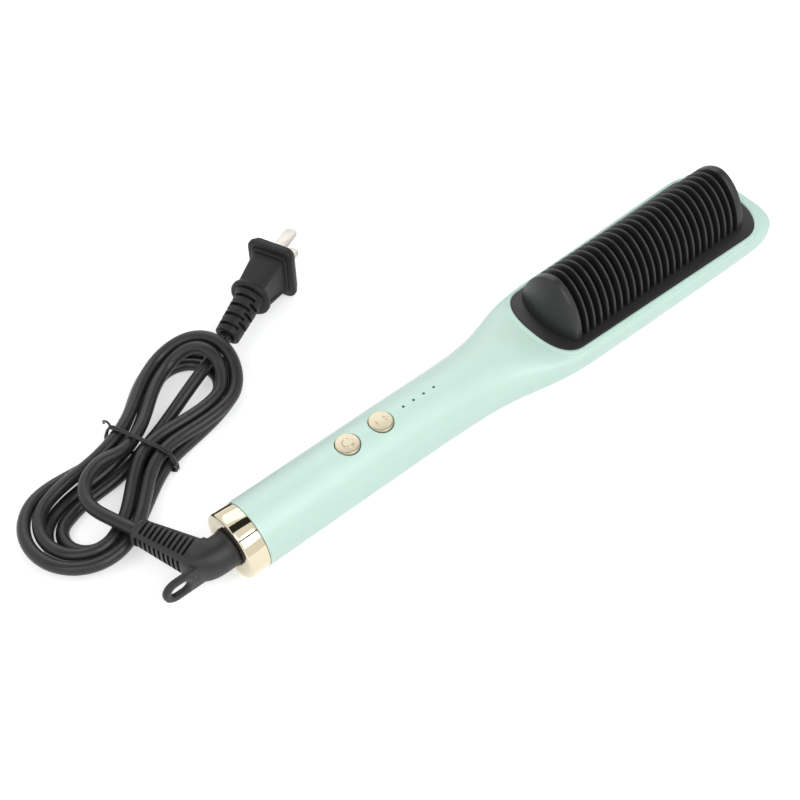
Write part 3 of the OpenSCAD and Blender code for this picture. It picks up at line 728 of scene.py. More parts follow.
# Stations along the handle: x, half width, height of the widest level, height of the top, and the
# exponents that round the upper and the lower half of the section.
STATIONS = (
    (9.5, 15.3, 15.3, 30.6, 2, 2),
    (80, 15.4, 15.3, 30.5, 2, 2),
    (110, 15.6, 15, 29.6, 2, 2),
    (130, 16.3, 14.6, 27.9, 2.1, 2.05),
    (142, 17.7, 14.5, 26.8, 2.3, 2.1),
    (152, 20, 15, 25.4, 2.8, 2.15),
    (162, 22.6, 16, 23.4, 3.8, 2.2),
    (172, 24.3, 16.8, 22.2, 4.8, 2.3),
    (184, 25.1, 17, 22, 5, 2.3),
    (280, 26, 17, 22, 5, 2.3),
)
RING_LEN = STATIONS[0][0]
TIP_FROM = STATIONS[-1][0]
COMB_LEN = 304
REST_CUT = 0.25
SECTION_POINTS = 112
# How round the head's end is: exponents for its width, its upper and its lower half
TIP_ROUND = (4, 5, 3)
TIP_RINGS = 24
RING_STEP = 2.9
WALL = 2.2
# A box that holds half of the housing reaches this far past its ends and to its sides
HALF_BOX = (5, 40)
LEDGE_INSET = -2.2


def station(x, column):
    """A value of the housing's shape at x, on a smooth curve through the stations."""
    last = len(STATIONS) - 1
    k = 0
    while k < last - 1 and x > STATIONS[k + 1][0]:
        k += 1

    def slope(i):
        if i <= 0 or i >= last:
            return 0.0
        before, after = STATIONS[i - 1], STATIONS[i + 1]
        return (after[column] - before[column]) / (after[0] - before[0])

    a, b = STATIONS[k], STATIONS[k + 1]
    w = b[0] - a[0]
    t = (x - a[0]) / w
    return (a[column] * (2 * t ** 3 - 3 * t ** 2 + 1) + slope(k) * w * (t ** 3 - 2 * t ** 2 + t)
            + b[column] * (3 * t ** 2 - 2 * t ** 3) + slope(k + 1) * w * (t ** 3 - t ** 2))


def signed_pow(value, exponent):
    """A power that keeps the value's sign."""
    return math.copysign(abs(value) ** exponent, value)


def tip_scale(tip, exponent):
    """How much of a section is left at tip, from 1 to 0."""
    return (1 - tip ** exponent) ** (1 / exponent)


def section(x, inset=0.0, tip=0.0):
    """One section of the housing. Tip is 0 before the head's rounded end and goes to 1 there."""
    at_x = max(RING_LEN, min(x, TIP_FROM))
    w = (station(at_x, 1) - inset) * tip_scale(tip, TIP_ROUND[0])
    mid = station(at_x, 2)
    up = (station(at_x, 3) - mid - inset) * tip_scale(tip, TIP_ROUND[1])
    down = (mid + REST_CUT - inset) * tip_scale(tip, TIP_ROUND[2])
    ring = []
    for i in range(SECTION_POINTS):
        a = 2 * math.pi * (i + 0.5) / SECTION_POINTS
        e = 2 / station(at_x, 4 if math.sin(a) > 0 else 5)
        h = up if math.sin(a) > 0 else down
        ring.append(at(x, w * signed_pow(math.cos(a), e), mid + h * signed_pow(math.sin(a), e)))
    return ring


def housing_rings(inset):
    """Sections of the whole housing, from the end ring to the head's end."""
    xs = [RING_LEN + RING_STEP * i for i in range(int((TIP_FROM - RING_LEN) / RING_STEP) + 1)]
    tip_l = COMB_LEN - inset - TIP_FROM
    rings = [section(x, inset) for x in xs]
    for k in range(1, TIP_RINGS + 1):
        t = math.sin(math.pi / 2 * k / (TIP_RINGS + 0.2))
        rings.append(section(TIP_FROM + tip_l * t, inset, t))
    return rings


def housing_shell(name, z0, z1):
    """The part of the hollow housing between two heights."""
    shell = skin(name, housing_rings(WALL)[::-1] + housing_rings(0), capped=False)
    pick(shell)
    bpy.ops.object.mode_set(mode="EDIT")
    bpy.ops.mesh.select_all(action="SELECT")
    bpy.ops.mesh.fill_holes(sides=SECTION_POINTS)
    bpy.ops.mesh.normals_make_consistent(inside=False)
    bpy.ops.object.mode_set(mode="OBJECT")
    past, side = HALF_BOX
    box = cube(name + "_box", at(-past, -side, z0), at(COMB_LEN + past, side, z1))
    modify(shell, "BOOLEAN", operation="INTERSECT", object=box, solver="EXACT")
    bpy.data.objects.remove(box)
    return shell


# The rounded ends of the guard's plate: x, length, half width, exponent
PLATE_NEAR = (178, 12.2, 21.2, 2.5)
PLATE_FAR = (280, 17, 23.5, 2.3)
ARC_POINTS = 28


def plate_outline(grow, grow_side=None):
    """Points (x, y) round the guard's plate, grown outwards."""
    side_grow = grow if grow_side is None else grow_side

    def quarter(end, way, side):
        points = []
        for i in range(ARC_POINTS + 1):
            a = math.pi / 2 * i / ARC_POINTS
            points.append((end[0] + way * (end[1] + grow) * math.sin(a) ** (2 / end[3]),
                           side * (end[2] + side_grow) * math.cos(a) ** (2 / end[3])))
        return points

    far, near = quarter(PLATE_FAR, 1, 1), quarter(PLATE_NEAR, -1, 1)
    upper = far[::-1] + near
    lower = [(x, -y) for x, y in upper[::-1]][1:-1]
    return upper + lower


def ring_at(outline, z):
    """An outline of points (x, y) at a height."""
    return [at(x, y, z) for x, y in outline]


def swept_round_plate(name, profile):
    """A closed profile of (grow, z, share of the growth at the sides) swept round the plate."""
    rings = [ring_at(plate_outline(g, g * s), z) for g, z, s in profile]
    return skin(name, rings + [rings[0]], capped=False)


# Profile of the raised lip and of the ledge that the guard's plate rests on. Growth is less at the
# plate's sides than at its ends.
LIP_SIDE = 0.68
LIP_H = 0.35
LIP_FROM = 22
LIP = (
    (0.12, 19.9, 1), (0.12, 22.25, 1), (0.2, 22.45, 1), (0.42, 22.58, 1), (0.8, 22.62, 1),
    (1.9, 22.6, LIP_SIDE), (2.25, 22.5, LIP_SIDE), (2.45, 22.3, LIP_SIDE), (2.55, 21.9, LIP_SIDE),
    (2.6, 19.0, LIP_SIDE), (0.9, 17.8, 1), (LEDGE_INSET, 17.8, 1), (LEDGE_INSET, 19.9, 1),
)
# The level that the head is cut down to round the lip: (growth, height)
CHANNEL = ((3.2, 22.2), (3.35, 22.32), (3.9, 23.6), (4.6, 32))
WINDOW_GROW = 1.2
WINDOW_Z = (16, 30)
SHELL_TOP = 45
BUTTON_X = (61.7, 79.5)
BUTTON_R = 5.3
BUTTON_GAP = 0.35
LED_X = tuple(91.7 + 5.6 * i for i in range(4))
LED_R = 0.6
LED_GAP = 0.05
HOLE_Z = (24, 34)
SCREW_X = (30.3, 136, 160, 297.8)
BOSS_R = 3.4
# Where a boss starts: on the handle's and the head's flat back, and on the head's rising end
BOSS_FOOT = 1
TIP_BOSS_FOOT = 3.5
# The recessed screw hole's profile: (radius, height)
SCREW_HOLE = ((0, -1), (2.6, -1), (2.6, 5), (1.35, 5), (1.35, 10), (0, 10))


def mint_plastic():
    """Silky moulded plastic that lets a little light in."""
    material = grained("mint_moulding", colours().housing, 0.34, grain=1500, bump=0.05, spread=0.05,
                       tint=0.012, ior=1.47)
    shader = material.node_tree.nodes["Principled BSDF"]
    shader.inputs["Subsurface Weight"].default_value = 0.08
    shader.inputs["Subsurface Radius"].default_value = (0.8, 1.0, 0.9)
    shader.inputs["Subsurface Scale"].default_value = 0.001
    return material


class COMB_OT_front_housing(bpy.types.Operator):
    """Adds the front housing, with its lip round the guard and its button holes"""

    bl_idname = "comb.front_housing"
    bl_label = "Front housing"

    def execute(self, context):
        shell = housing_shell("front_shell", SEAM_Z + SEAM_GAP, SHELL_TOP)
        channel = [ring_at(plate_outline(g, g * LIP_SIDE), z) for g, z in CHANNEL]
        cut(shell, skin("channel_cutter", channel))
        window = [ring_at(plate_outline(WINDOW_GROW, WINDOW_GROW * LIP_SIDE), z) for z in WINDOW_Z]
        cut(shell, skin("window_cutter", window))
        rows = [(x, BUTTON_R + BUTTON_GAP, 96) for x in BUTTON_X]
        rows += [(x, LED_R + LED_GAP, 32) for x in LED_X]
        holes = [cylinder("top_hole", at(x, 0, HOLE_Z[0]), at(x, 0, HOLE_Z[1]), radius, sides=sides)
                 for x, radius, sides in rows]
        cut(shell, join("hole_cutter", holes))
        raised = sizes().lip_height / MM - LIP_H
        lip = swept_round_plate("plate_lip", [(g, z + (raised if z > LIP_FROM else 0), s)
                                              for g, z, s in LIP])
        front = join("front_shell", [shell, lip])
        smooth(front, 38)
        finished(front, "comb", mint_plastic(), ("front_housing",))
        return {"FINISHED"}


class COMB_OT_rear_housing(bpy.types.Operator):
    """Adds the rear housing, with its recessed screw holes"""

    bl_idname = "comb.rear_housing"
    bl_label = "Rear housing"

    def execute(self, context):
        shell = housing_shell("rear_shell", 0, SEAM_Z - SEAM_GAP)
        bosses, holes = [], []
        for x in SCREW_X:
            foot = TIP_BOSS_FOOT if x > TIP_FROM else BOSS_FOOT
            bosses.append(cylinder("screw_boss", at(x, 0, foot), at(x, 0, SEAM_Z - 0.05), BOSS_R))
            holes.append(turned("screw_hole", SCREW_HOLE, at(x, 0, 0), UP, sides=64))
        cutter = join("screw_hole_cutter", holes)
        cut(shell, copy_of(cutter, Vector()))
        # The bosses overlap the shell, so they are cut by themselves before they are joined to it
        rear = join("rear_shell", [shell, cut(join("screw_bosses", bosses), cutter)])
        smooth(rear, 38)
        mint = bpy.data.materials["mint_moulding"]
        finished(rear, "comb", mint, ("rear_housing",))
        return {"FINISHED"}


# ---------------------------------------------------------------- gold ring and buttons

# Profiles of the turned pieces: (radius, distance along the axis)
RING_PROFILE = (
    (8.56, 0.35), (8.7, 0.12), (8.95, 0.0), (14.4, 0.0), (14.75, 0.08), (15.02, 0.28), (15.18, 0.55),
    (15.25, 0.9), (15.25, 8.95), (15.2, 9.15), (15.05, 9.27), (14.8, 9.3), (12.9, 9.3), (12.9, 12.6),
    (8.56, 12.6), (8.56, 0.35),
)


class COMB_OT_end_ring(bpy.types.Operator):
    """Adds the polished ring at the handle's end"""

    bl_idname = "comb.end_ring"
    bl_label = "End ring"

    def execute(self, context):
        ring = turned("gold_ring", RING_PROFILE, at(0, 0, AXIS_Z), Vector((1, 0, 0)), sides=160)
        smooth(ring, 30)
        gold = grained("polished_gold", colours().gold, 0.07, metallic=1.0, spread=0.02, grain=500,
                       bump=0.01, tint=0.02)
        finished(ring, "comb", gold, ("end_ring",))
        return {"FINISHED"}


BUTTON_PROFILE = (
    (0, 25.3), (6.2, 25.3), (6.2, 26.1), (5.3, 26.1), (5.3, 30.4), (5.27, 30.6), (5.18, 30.74),
    (5.04, 30.83), (4.8, 30.87), (4.4, 30.89), (3.2, 30.93), (1.6, 30.97), (0, 30.99),
)
BUTTON_TOP = 31.0
BUTTON_GOLD = 0.8
ENGRAVING = 0.36


def engraved_stroke(name, points, x):
    """A round-bottomed groove in a button's top; points are (x, y) from its centre."""
    curve = curve_piece(name, [at(x + px, py, BUTTON_TOP) for px, py in points], ENGRAVING,
                        order=3 if len(points) > 2 else 2, rounds=3, steps=6)
    pick(curve)
    bpy.ops.object.convert(target="MESH")
    return bpy.context.view_layer.objects.active


def arc_points(radius, start, end, count):
    """Points (x, y) on an arc between two angles in degrees."""
    turns = [math.radians(start + (end - start) * i / (count - 1)) for i in range(count)]
    return [(radius * math.cos(a), radius * math.sin(a)) for a in turns]


def button_cap(name, x, strokes):
    """A button with a slightly domed top and a sign cut into it."""
    cap = turned(name, BUTTON_PROFILE, at(x, 0, 0), UP, sides=96)
    for cutter in [engraved_stroke("engraving", stroke, x) for stroke in strokes]:
        cut(cap, cutter)
    return smooth(cap, 35)


class COMB_OT_buttons(bpy.types.Operator):
    """Adds the two gold buttons, engraved with a power sign and with plus and minus"""

    bl_idname = "comb.buttons"
    bl_label = "Buttons"

    def execute(self, context):
        gold = grained("button_gold", [c * BUTTON_GOLD for c in colours().gold], 0.3, metallic=1.0,
                       spread=0.03, grain=500, bump=0.01, tint=0.02)
        power = button_cap("power_cap", BUTTON_X[0], [
            arc_points(2.3, 35, 325, 24), [(0.4, 0), (2.9, 0)]])
        mode = button_cap("mode_cap", BUTTON_X[1], [
            [(-2.2, -1.2), (-2.2, 1.2)], [(2.2, -1.3), (2.2, 1.3)], [(0.9, 0), (3.5, 0)]])
        finished(power, "power_button", gold, ("power_button",))
        finished(mode, "mode_button", gold, ("mode_button",))
        return {"FINISHED"}


# ---------------------------------------------------------------- guard and heated comb

# The first rib's x, and the step from rib to rib
COMB_X = 183.5
RIB_PITCH = 4.245
RIB_HALF_W = 17.7
RIB_H = 24.6
RIB_DEPTH = 6
FIN_DEPTH = 3.8
PLATE_BOTTOM = 19.9
WALL_NEAR = (176.5, 179.9)
WALL_FAR = (280.5, 284.3)
WALL_BASE = PLATE_TOP - 0.5
DOME_L = 4.7
DOME_RINGS = 18
ARCH_POINTS = 56
WINDOW_Y = 14.6
CLAMP_SCREWS = ((174, 9), (174, -9), (288.5, 9), (288.5, -9))
CLAMP_BOSS_R = 2.8
CLAMP_BOSS_FOOT = 14.2
# Edge of the guard's plate: (growth, height)
PLATE_PROFILE = (
    (-0.02, PLATE_BOTTOM), (-0.02, PLATE_TOP - 0.45), (-0.1, PLATE_TOP - 0.2),
    (-0.28, PLATE_TOP - 0.06), (-0.5, PLATE_TOP),
)
# A heated fin across its thickness: (distance from its middle, inset of its edge)
FIN_PROFILE = ((-0.6, 0.4), (-0.5, 0.12), (-0.3, 0), (0.3, 0), (0.5, 0.12), (0.6, 0.4))
FIN_FEET = 19
RIDGE_HALF_W = 11.3
RIDGE_DEPTH = 6.4
BASE_HALF_W = 16.5
BASE_BOTTOM = 16.9


def arch(inset, feet):
    """Points (y, z) of the ribs' outline, from one foot to the other."""
    points = []
    for i in range(ARCH_POINTS + 1):
        a = math.pi * i / ARCH_POINTS
        points.append(((RIB_HALF_W - inset) * signed_pow(math.cos(a), 1.1),
                       feet + (PLATE_TOP + RIB_H - inset - feet) * max(0.0, math.sin(a)) ** 1.1))
    return points


def rib(x):
    """One rib: a band that is thinner at its crest than at its feet, with rounded outer edges."""
    crest, foot = sizes().rib_crest / MM / 2, sizes().rib_foot / MM / 2
    edge, slope = 0.35, 0.12
    arches = arch(0, WALL_BASE), arch(edge, WALL_BASE), arch(RIB_DEPTH, WALL_BASE)
    rings = []
    for (y0, z0), (y1, z1), (y2, z2) in zip(*arches):
        h = max(0.0, min(1.0, (z0 - WALL_BASE) / RIB_H))
        t = foot + (crest - foot) * h ** 0.6
        ym, zm = (2 * y0 + y1) / 3, (2 * z0 + z1) / 3
        rings.append([
            at(x - t, y2, z2), at(x - t, y1, z1), at(x - t + slope, ym, zm), at(x - t + edge, y0, z0),
            at(x + t - edge, y0, z0), at(x + t - slope, ym, zm), at(x + t, y1, z1), at(x + t, y2, z2)])
    return skin("guard_rib", rings)


def end_wall(name, x_in, x_out, way):
    """An end wall with its domed outside; way is -1 for the near wall and 1 for the far one."""
    rows = [(x_in, 0.975), (x_in + way * 0.15, 0.993), (x_in + way * 0.45, 1),
            (x_out - way * 0.2, 1), (x_out - way * 0.05, 0.997), (x_out, 0.99)]
    for k in range(1, DOME_RINGS + 1):
        scale = math.cos(math.pi / 2 * k / (DOME_RINGS + 0.6))
        rows.append((x_out + way * DOME_L * (1 - scale ** 2) ** 0.86, 0.99 * scale))
    return skin(name, [[at(x, y * scale, WALL_BASE + (z - WALL_BASE) * scale)
                        for y, z in arch(0, WALL_BASE)] for x, scale in rows])


class COMB_OT_guard(bpy.types.Operator):
    """Adds the black guard: its plate, ribs and end walls"""

    bl_idname = "comb.guard"
    bl_label = "Guard"

    def execute(self, context):
        plate = skin("guard_plate", [ring_at(plate_outline(g), z) for g, z in PLATE_PROFILE])
        window = cube("plate_window", at(WALL_NEAR[1], -WINDOW_Y, 18), at(WALL_FAR[0], WINDOW_Y, 26))
        cut(plate, window)
        pieces = [plate, end_wall("near_wall", WALL_NEAR[1], WALL_NEAR[0], -1),
                  end_wall("far_wall", WALL_FAR[0], WALL_FAR[1], 1)]
        first = rib(COMB_X)
        pieces.append(first)
        for i in range(1, sizes().rib_count):
            pieces.append(copy_of(first, Vector((RIB_PITCH * i * MM, 0, 0))))
        for x, y in CLAMP_SCREWS:
            pieces.append(cylinder("clamp_boss", at(x, y, CLAMP_BOSS_FOOT),
                                   at(x, y, PLATE_BOTTOM + 0.5), CLAMP_BOSS_R, sides=32))
        guard = join("rib_guard", pieces)
        smooth(guard, 40)
        material = grained("guard_plastic", colours().guard, 0.42, grain=1300, bump=0.16, tint=0.08)
        finished(guard, "comb", material, ("comb_guard",))
        return {"FINISHED"}


class COMB_OT_heated_comb(bpy.types.Operator):
    """Adds the heated fins and the ridge and base that carry them"""

    bl_idname = "comb.heated_comb"
    bl_label = "Heated comb"

    def execute(self, context):
        base = bevel(cube("heated_base", at(WALL_NEAR[1] - 0.7, -BASE_HALF_W, BASE_BOTTOM),
                          at(WALL_FAR[0] + 0.7, BASE_HALF_W, PLATE_BOTTOM)), 0.2)
        outline = [(-RIDGE_HALF_W, FIN_FEET), (RIDGE_HALF_W, FIN_FEET)] + arch(RIDGE_DEPTH, FIN_FEET)
        ridge = slab("heated_ridge", [at(WALL_NEAR[1] + 0.2, y, z) for y, z in outline],
                     Vector(((WALL_FAR[0] - WALL_NEAR[1] - 0.4) * MM, 0, 0)))
        x = COMB_X + RIB_PITCH / 2
        fin = skin("heated_fin", [[at(x + dx, y, z) for y, z in arch(FIN_DEPTH + inset, FIN_FEET)]
                                  for dx, inset in FIN_PROFILE])
        pieces = [base, ridge, fin]
        for i in range(1, sizes().rib_count - 1):
            pieces.append(copy_of(fin, Vector((RIB_PITCH * i * MM, 0, 0))))
        comb = join("heated_fins", pieces)
        smooth(comb, 35)
        material = grained("ceramic_coat", (0.012, 0.012, 0.013), 0.12, grain=800, bump=0.05,
                           spread=0.04, tint=0.1, coat=0.5)
        finished(comb, "comb", material, ("heating_comb",))
        return {"FINISHED"}


# ---------------------------------------------------------------- boot and hanging loop

BOOT_R = 8.35
NECK_R = 8.0
BEND_R = 9
BEND_RINGS = 18
BOOT_TURN = math.radians(68.3)
BOOT_CORNER_X = -11.5
BEND_RUN = BEND_R * math.tan(BOOT_TURN / 2)
SLEEVE_L = 25.2
SLEEVE_R = 7.5
SLEEVE_END_R = 5.2
SLEEVE_RINGS = 24
BOOT_POINTS = 72
# The boot inside the end ring: (x, radius)
BOOT_COLLAR = (
    (0.0, 8.2), (-0.3, 8.35), (-1.2, 8.35), (-1.5, 8.2), (-1.7, 7.95), (-2.0, 7.9), (-3, 7.95),
)
# The rolled lip at the sleeve's end: (distance from the end, radius, squareness)
BOOT_LIP = (
    (-1.0, 5.35, 0.4), (-0.7, 5.65, 0.2), (-0.2, 5.85, 0), (0.6, 5.85, 0), (1.3, 5.6, 0), (1.8, 5.0, 0),
    (2.0, 4.3, 0), (1.9, 3.5, 0), (1.5, 3.1, 0),
)
SLOT_COUNT = 10
SLOT_PITCH = 2.4
SLOT_START = 0.8
SLOT_LEN = 1.15
SLOT_DEPTH = 1.7
SLOT_PAST = 1.5
# A slot's rounded floor: (share of its half width, how far the floor rises there)
SLOT_FLOOR = ((-1.0, 0.55), (-0.8, 0.2), (-0.45, 0.0), (0.45, 0.0), (0.8, 0.2), (1.0, 0.55))


def sleeve_radius(d):
    """Radius of the sleeve, d along it from the end of the boot's bend."""
    return SLEEVE_R - (SLEEVE_R - SLEEVE_END_R) * d / SLEEVE_L


def sleeve_place():
    """The frame of the sleeve: its start, its direction and its sideways direction."""
    start = at(BOOT_CORNER_X - BEND_RUN * math.cos(BOOT_TURN), BEND_RUN * math.sin(BOOT_TURN), AXIS_Z)
    turn = math.pi - BOOT_TURN
    c, s = math.cos(turn), math.sin(turn)
    return start, Vector((c, s, 0)), Vector((-s, c, 0))


def boot_ring(centre, side, radius, square):
    """A ring across the boot; square 0 is round and 1 is a rounded square."""
    ring = []
    exponent = 2 / (2 + 1.5 * square)
    size = radius * (1 - 0.05 * square)
    for i in range(BOOT_POINTS):
        a = 2 * math.pi * i / BOOT_POINTS
        ring.append(centre + side * (size * signed_pow(math.cos(a), exponent) * MM)
                    + Vector((0, 0, size * signed_pow(math.sin(a), exponent) * MM)))
    return ring


def boot_body():
    """The boot without its slots: collar, bend, tapering sleeve and rolled lip."""
    rings = [boot_ring(at(x, 0, AXIS_Z), Vector((0, -1, 0)), r, 0) for x, r in BOOT_COLLAR]
    for k in range(BEND_RINGS + 1):
        a = BOOT_TURN * k / BEND_RINGS
        centre = at(BOOT_CORNER_X + BEND_RUN - BEND_R * math.sin(a), BEND_R * (1 - math.cos(a)), AXIS_Z)
        across = Vector((-math.sin(a), -math.cos(a), 0))
        radius = NECK_R + 0.35 * ease(k / 10) - (BOOT_R - SLEEVE_R) * ease((k - 9) / 9)
        rings.append(boot_ring(centre, across, radius, ease(k / BEND_RINGS)))
    start, along, _ = sleeve_place()
    across = Vector((-math.sin(BOOT_TURN), -math.cos(BOOT_TURN), 0))
    for k in range(1, SLEEVE_RINGS + 1):
        t = k / SLEEVE_RINGS
        d = (SLEEVE_L - 1.2) * t
        rings.append(boot_ring(start + along * d * MM, across, sleeve_radius(d), 1 - 0.5 * t ** 3))
    for past, r, square in BOOT_LIP:
        rings.append(boot_ring(start + along * (SLEEVE_L + past) * MM, across, r, square))
    return skin("boot", rings)


def slot_cutter(side, k):
    """One slot across a side of the sleeve, counted round from the top."""
    start, along, across = sleeve_place()
    d = SLOT_START + SLOT_PITCH * k + (0.0 if side % 2 == 0 else SLOT_PITCH / 2)
    r = sleeve_radius(d)
    out, wide = ((UP, across), (across, UP), (-UP, across), (-across, UP))[side]
    half, ahead, top = 0.6 * r, along * SLOT_LEN * MM, out * (r + SLOT_PAST) * MM
    rings = []
    for share, rise in SLOT_FLOOR:
        base = start + along * d * MM + wide * (half * share) * MM
        bottom = out * (r * 0.95 - SLOT_DEPTH * (1 - rise)) * MM
        rings.append([base + bottom, base + bottom + ahead, base + top + ahead, base + top])
    return skin("slot_cutter", rings)


class COMB_OT_boot(bpy.types.Operator):
    """Adds the strain relief boot, with its slots"""

    bl_idname = "comb.boot"
    bl_label = "Strain relief boot"

    def execute(self, context):
        boot = boot_body()
        slots = [slot_cutter(side, k) for side in range(4) for k in range(SLOT_COUNT)]
        cut(boot, join("slot_cutters", slots))
        smooth(boot, 40)
        material = grained("boot_rubber", colours().lead, 0.46, grain=1200, bump=0.2, spread=0.07,
                           tint=0.1)
        finished(boot, "lead", material, ("strain_relief",))
        return {"FINISHED"}


LOOP_Y = (-3, 0)
LOOP_Z = AXIS_Z - 1.4
LOOP_R = 6.2
LOOP_TIP = -33
LOOP_FROM = -14
HOLE_R = 3
HOLE_X = (-27.2, -24.6)
WEB_INSET = 0.35
# The rim round the hole: half its thickness, how square it is, points round it
RIM_HALF = 1.5
RIM_SQUARE = 0.7
RIM_POINTS = 16


def stadium(x0, x1, r, count):
    """Points (x, z) of a long round-ended outline about the axis."""
    points = []
    for x, start in ((x0, math.pi / 2), (x1, -math.pi / 2)):
        for i in range(count + 1):
            a = start + math.pi * i / count
            points.append((x + r * math.cos(a), r * math.sin(a)))
    return points


def rim_ring(centre, out, radius):
    """A ring across the loop's rim."""
    return [centre + out * (radius * signed_pow(math.cos(a), RIM_SQUARE)) * MM
            + Vector((0, RIM_HALF * signed_pow(math.sin(a), RIM_SQUARE) * MM, 0))
            for a in (2 * math.pi * j / RIM_POINTS for j in range(RIM_POINTS))]


class COMB_OT_hanging_loop(bpy.types.Operator):
    """Adds the flat loop that the comb hangs by"""

    bl_idname = "comb.hanging_loop"
    bl_label = "Hanging loop"

    def execute(self, context):
        outline = stadium(LOOP_TIP + LOOP_R, LOOP_FROM, LOOP_R, 24)
        web = slab("loop_web", [at(x, LOOP_Y[0] + WEB_INSET, LOOP_Z + z) for x, z in outline],
                   Vector((0, (LOOP_Y[1] - LOOP_Y[0] - 2 * WEB_INSET) * MM, 0)))
        hole = slab("loop_hole", [at(x, LOOP_Y[0] - 2, LOOP_Z + z)
                                  for x, z in stadium(*HOLE_X, HOLE_R, 20)], Vector((0, 8 * MM, 0)))
        cut(web, hole)
        rim_r = (LOOP_R - HOLE_R) / 2
        middle = stadium(*HOLE_X, HOLE_R + rim_r, 16)
        rings = []
        for i in range(len(middle)):
            x, z = middle[i]
            ahead, behind = middle[(i + 1) % len(middle)], middle[i - 1]
            way = Vector((ahead[0] - behind[0], 0, ahead[1] - behind[1])).normalized()
            rings.append(rim_ring(at(x, (LOOP_Y[0] + LOOP_Y[1]) / 2, LOOP_Z + z),
                                  way.cross(Vector((0, 1, 0))), rim_r))
        rim = skin("loop_rim", rings + [rings[0]], capped=False)
        loop = join("hanging_eyelet", [bevel(web, 0.3, 2, 50), rim])
        smooth(loop, 42)
        finished(loop, "lead", bpy.data.materials["boot_rubber"], ("hanging_loop",))
        return {"FINISHED"}


# ---------------------------------------------------------------- cord tie and plug

TIE_U = 1.5
TIE_WIRE = 0.55
# The tie goes round the waist twice, each turn this far to one side: points (v, z)
TIE_TURNS = (-0.55, 0.55)
TIE_LOOP = (
    (-17.5, 0.85), (-9, 0.75), (0, 0.7), (9, 0.75), (17.5, 0.85), (18.2, 4.4), (17.2, 8),
    (15.4, 12.9), (13.4, 14.4), (7, 14.6), (0, 14.5), (-7, 14.6), (-13.4, 14.4), (-15.4, 12.9),
    (-17.2, 8), (-18.2, 4.4),
)
TIE_END_POINTS = 12


def tie_end(way):
    """Points of a curled end of the tie, on one side (1) or the other (-1)."""
    for i in range(TIE_END_POINTS):
        t = i / (TIE_END_POINTS - 1)
        a = math.radians(-40 + 250 * t)
        out = way * (14.6 + 2.3 * t) + way * 1.6 * (1 - math.cos(a))
        yield hank(TIE_U + way * (0.6 + 2.1 * t), out, 13.9 - 2.6 * t + 1.8 * math.sin(a))


class COMB_OT_tie(bpy.types.Operator):
    """Adds the wire tie round the hank's waist"""

    bl_idname = "comb.tie"
    bl_label = "Cord tie"

    def execute(self, context):
        turns = []
        for k, du in enumerate(TIE_TURNS):
            points = [hank(TIE_U + du + 0.25 * math.sin(i * 0.9 + k), v, z)
                      for i, (v, z) in enumerate(TIE_LOOP)]
            turns.append(curve_piece("tie_turn", points, TIE_WIRE, cyclic=True, order=3, rounds=4,
                                     steps=8))
        for way in (-1, 1):
            ends = list(tie_end(way))
            turns.append(curve_piece("tie_end", ends, TIE_WIRE * 0.95, order=3, rounds=4, steps=6))
        for turn in turns:
            pick(turn)
            bpy.ops.object.convert(target="MESH")
        tie = join("wire_tie", turns)
        smooth(tie, 60)
        material = grained("tie_wire", (0.014, 0.014, 0.015), 0.34, grain=900, bump=0.05, tint=0.1)
        finished(tie, "lead", material, ("cord_tie",))
        return {"FINISHED"}


PLUG_Z = 14.9
RELIEF_L = 22
FLANGE_U = PLUG_TAIL[0] + 21.2
BODY_U = FLANGE_U + 3
BODY_L = 17.4
FACE_U = BODY_U + BODY_L
# Blades: distance from the plug's axis, thickness, outline (u, v) from the face
BLADE_OFF = 6.35
BLADE_T = 1.5
BLADE_OUTLINE = (
    (0, -3.15), (14.9, -3.15), (16.1, -2.7), (16.8, -1.8), (17, -0.8), (17, 0.8), (16.8, 1.8),
    (16.1, 2.7), (14.9, 3.15), (0, 3.15),
)
# Round pieces: (distance along, radius)
RELIEF_PROFILE = (
    (2.2, 3.1), (0.5, 3.7), (0.1, 4.4), (0.0, 5.0), (0.15, 5.6), (0.5, 5.95), (3, 6.05), (10, 6.3),
    (17, 6.5), (RELIEF_L - 1.4, 6.55), (RELIEF_L - 0.4, 7.1), (RELIEF_L + 0.3, 8.0),
)
RELIEF_SIDES = 64
FLANGE_PROFILE = (
    (0, 7.5), (0, 9.1), (0.25, 9.65), (0.8, 10), (2.1, 10), (2.7, 9.7), (3.0, 9.1), (3.0, 6),
)
FLANGE_SIDES = 72
# The relief's cuts: how many, the first one's place, their step, length, and half angle
RELIEF_CUTS = (7, 2.9, 2.6, 1.6, 52)
RELIEF_CUT_R = (4.5, 9)
# Body: (distance along, corner radius). Its width and height grow by BODY_GROWS along BODY_L.
BODY_ROWS = ((-0.6, 2.6), (0, 2.5), (9, 2.2), (BODY_L + 0.4, 2))
BODY_SIZE = (13, 17)
BODY_GROWS = (3, 5)
# Panel cut into the body's sides: corners (distance along, half height), depth and taper
PANEL = ((2.6, 5.6), (14.6, 8.4), (14.6, -8.4), (2.6, -5.6))
PANEL_DEPTH = 0.55
PANEL_TAPER = 0.35
# Square plates: (distance along, width, height, corner radius)
STEP_ROWS = (
    (-1.6, 16.2, 22.2, 2.2), (-1.5, 17.6, 23.6, 2.8), (-1.2, 18.2, 24.2, 3.1), (0.2, 18.4, 24.4, 3.2),
)
FACE_ROWS = (
    (0, 22.3, 28.4, 4.1), (0.2, 23.0, 29.1, 4.3), (0.7, 23.5, 29.6, 4.5), (2.3, 23.5, 29.6, 4.5),
    (2.7, 23.1, 29.2, 4.3), (2.85, 21.8, 27.8, 4.1), (4.3, 21.6, 27.6, 4), (4.75, 21.1, 27.1, 3.8),
    (5.0, 20.1, 26.1, 3.4),
)


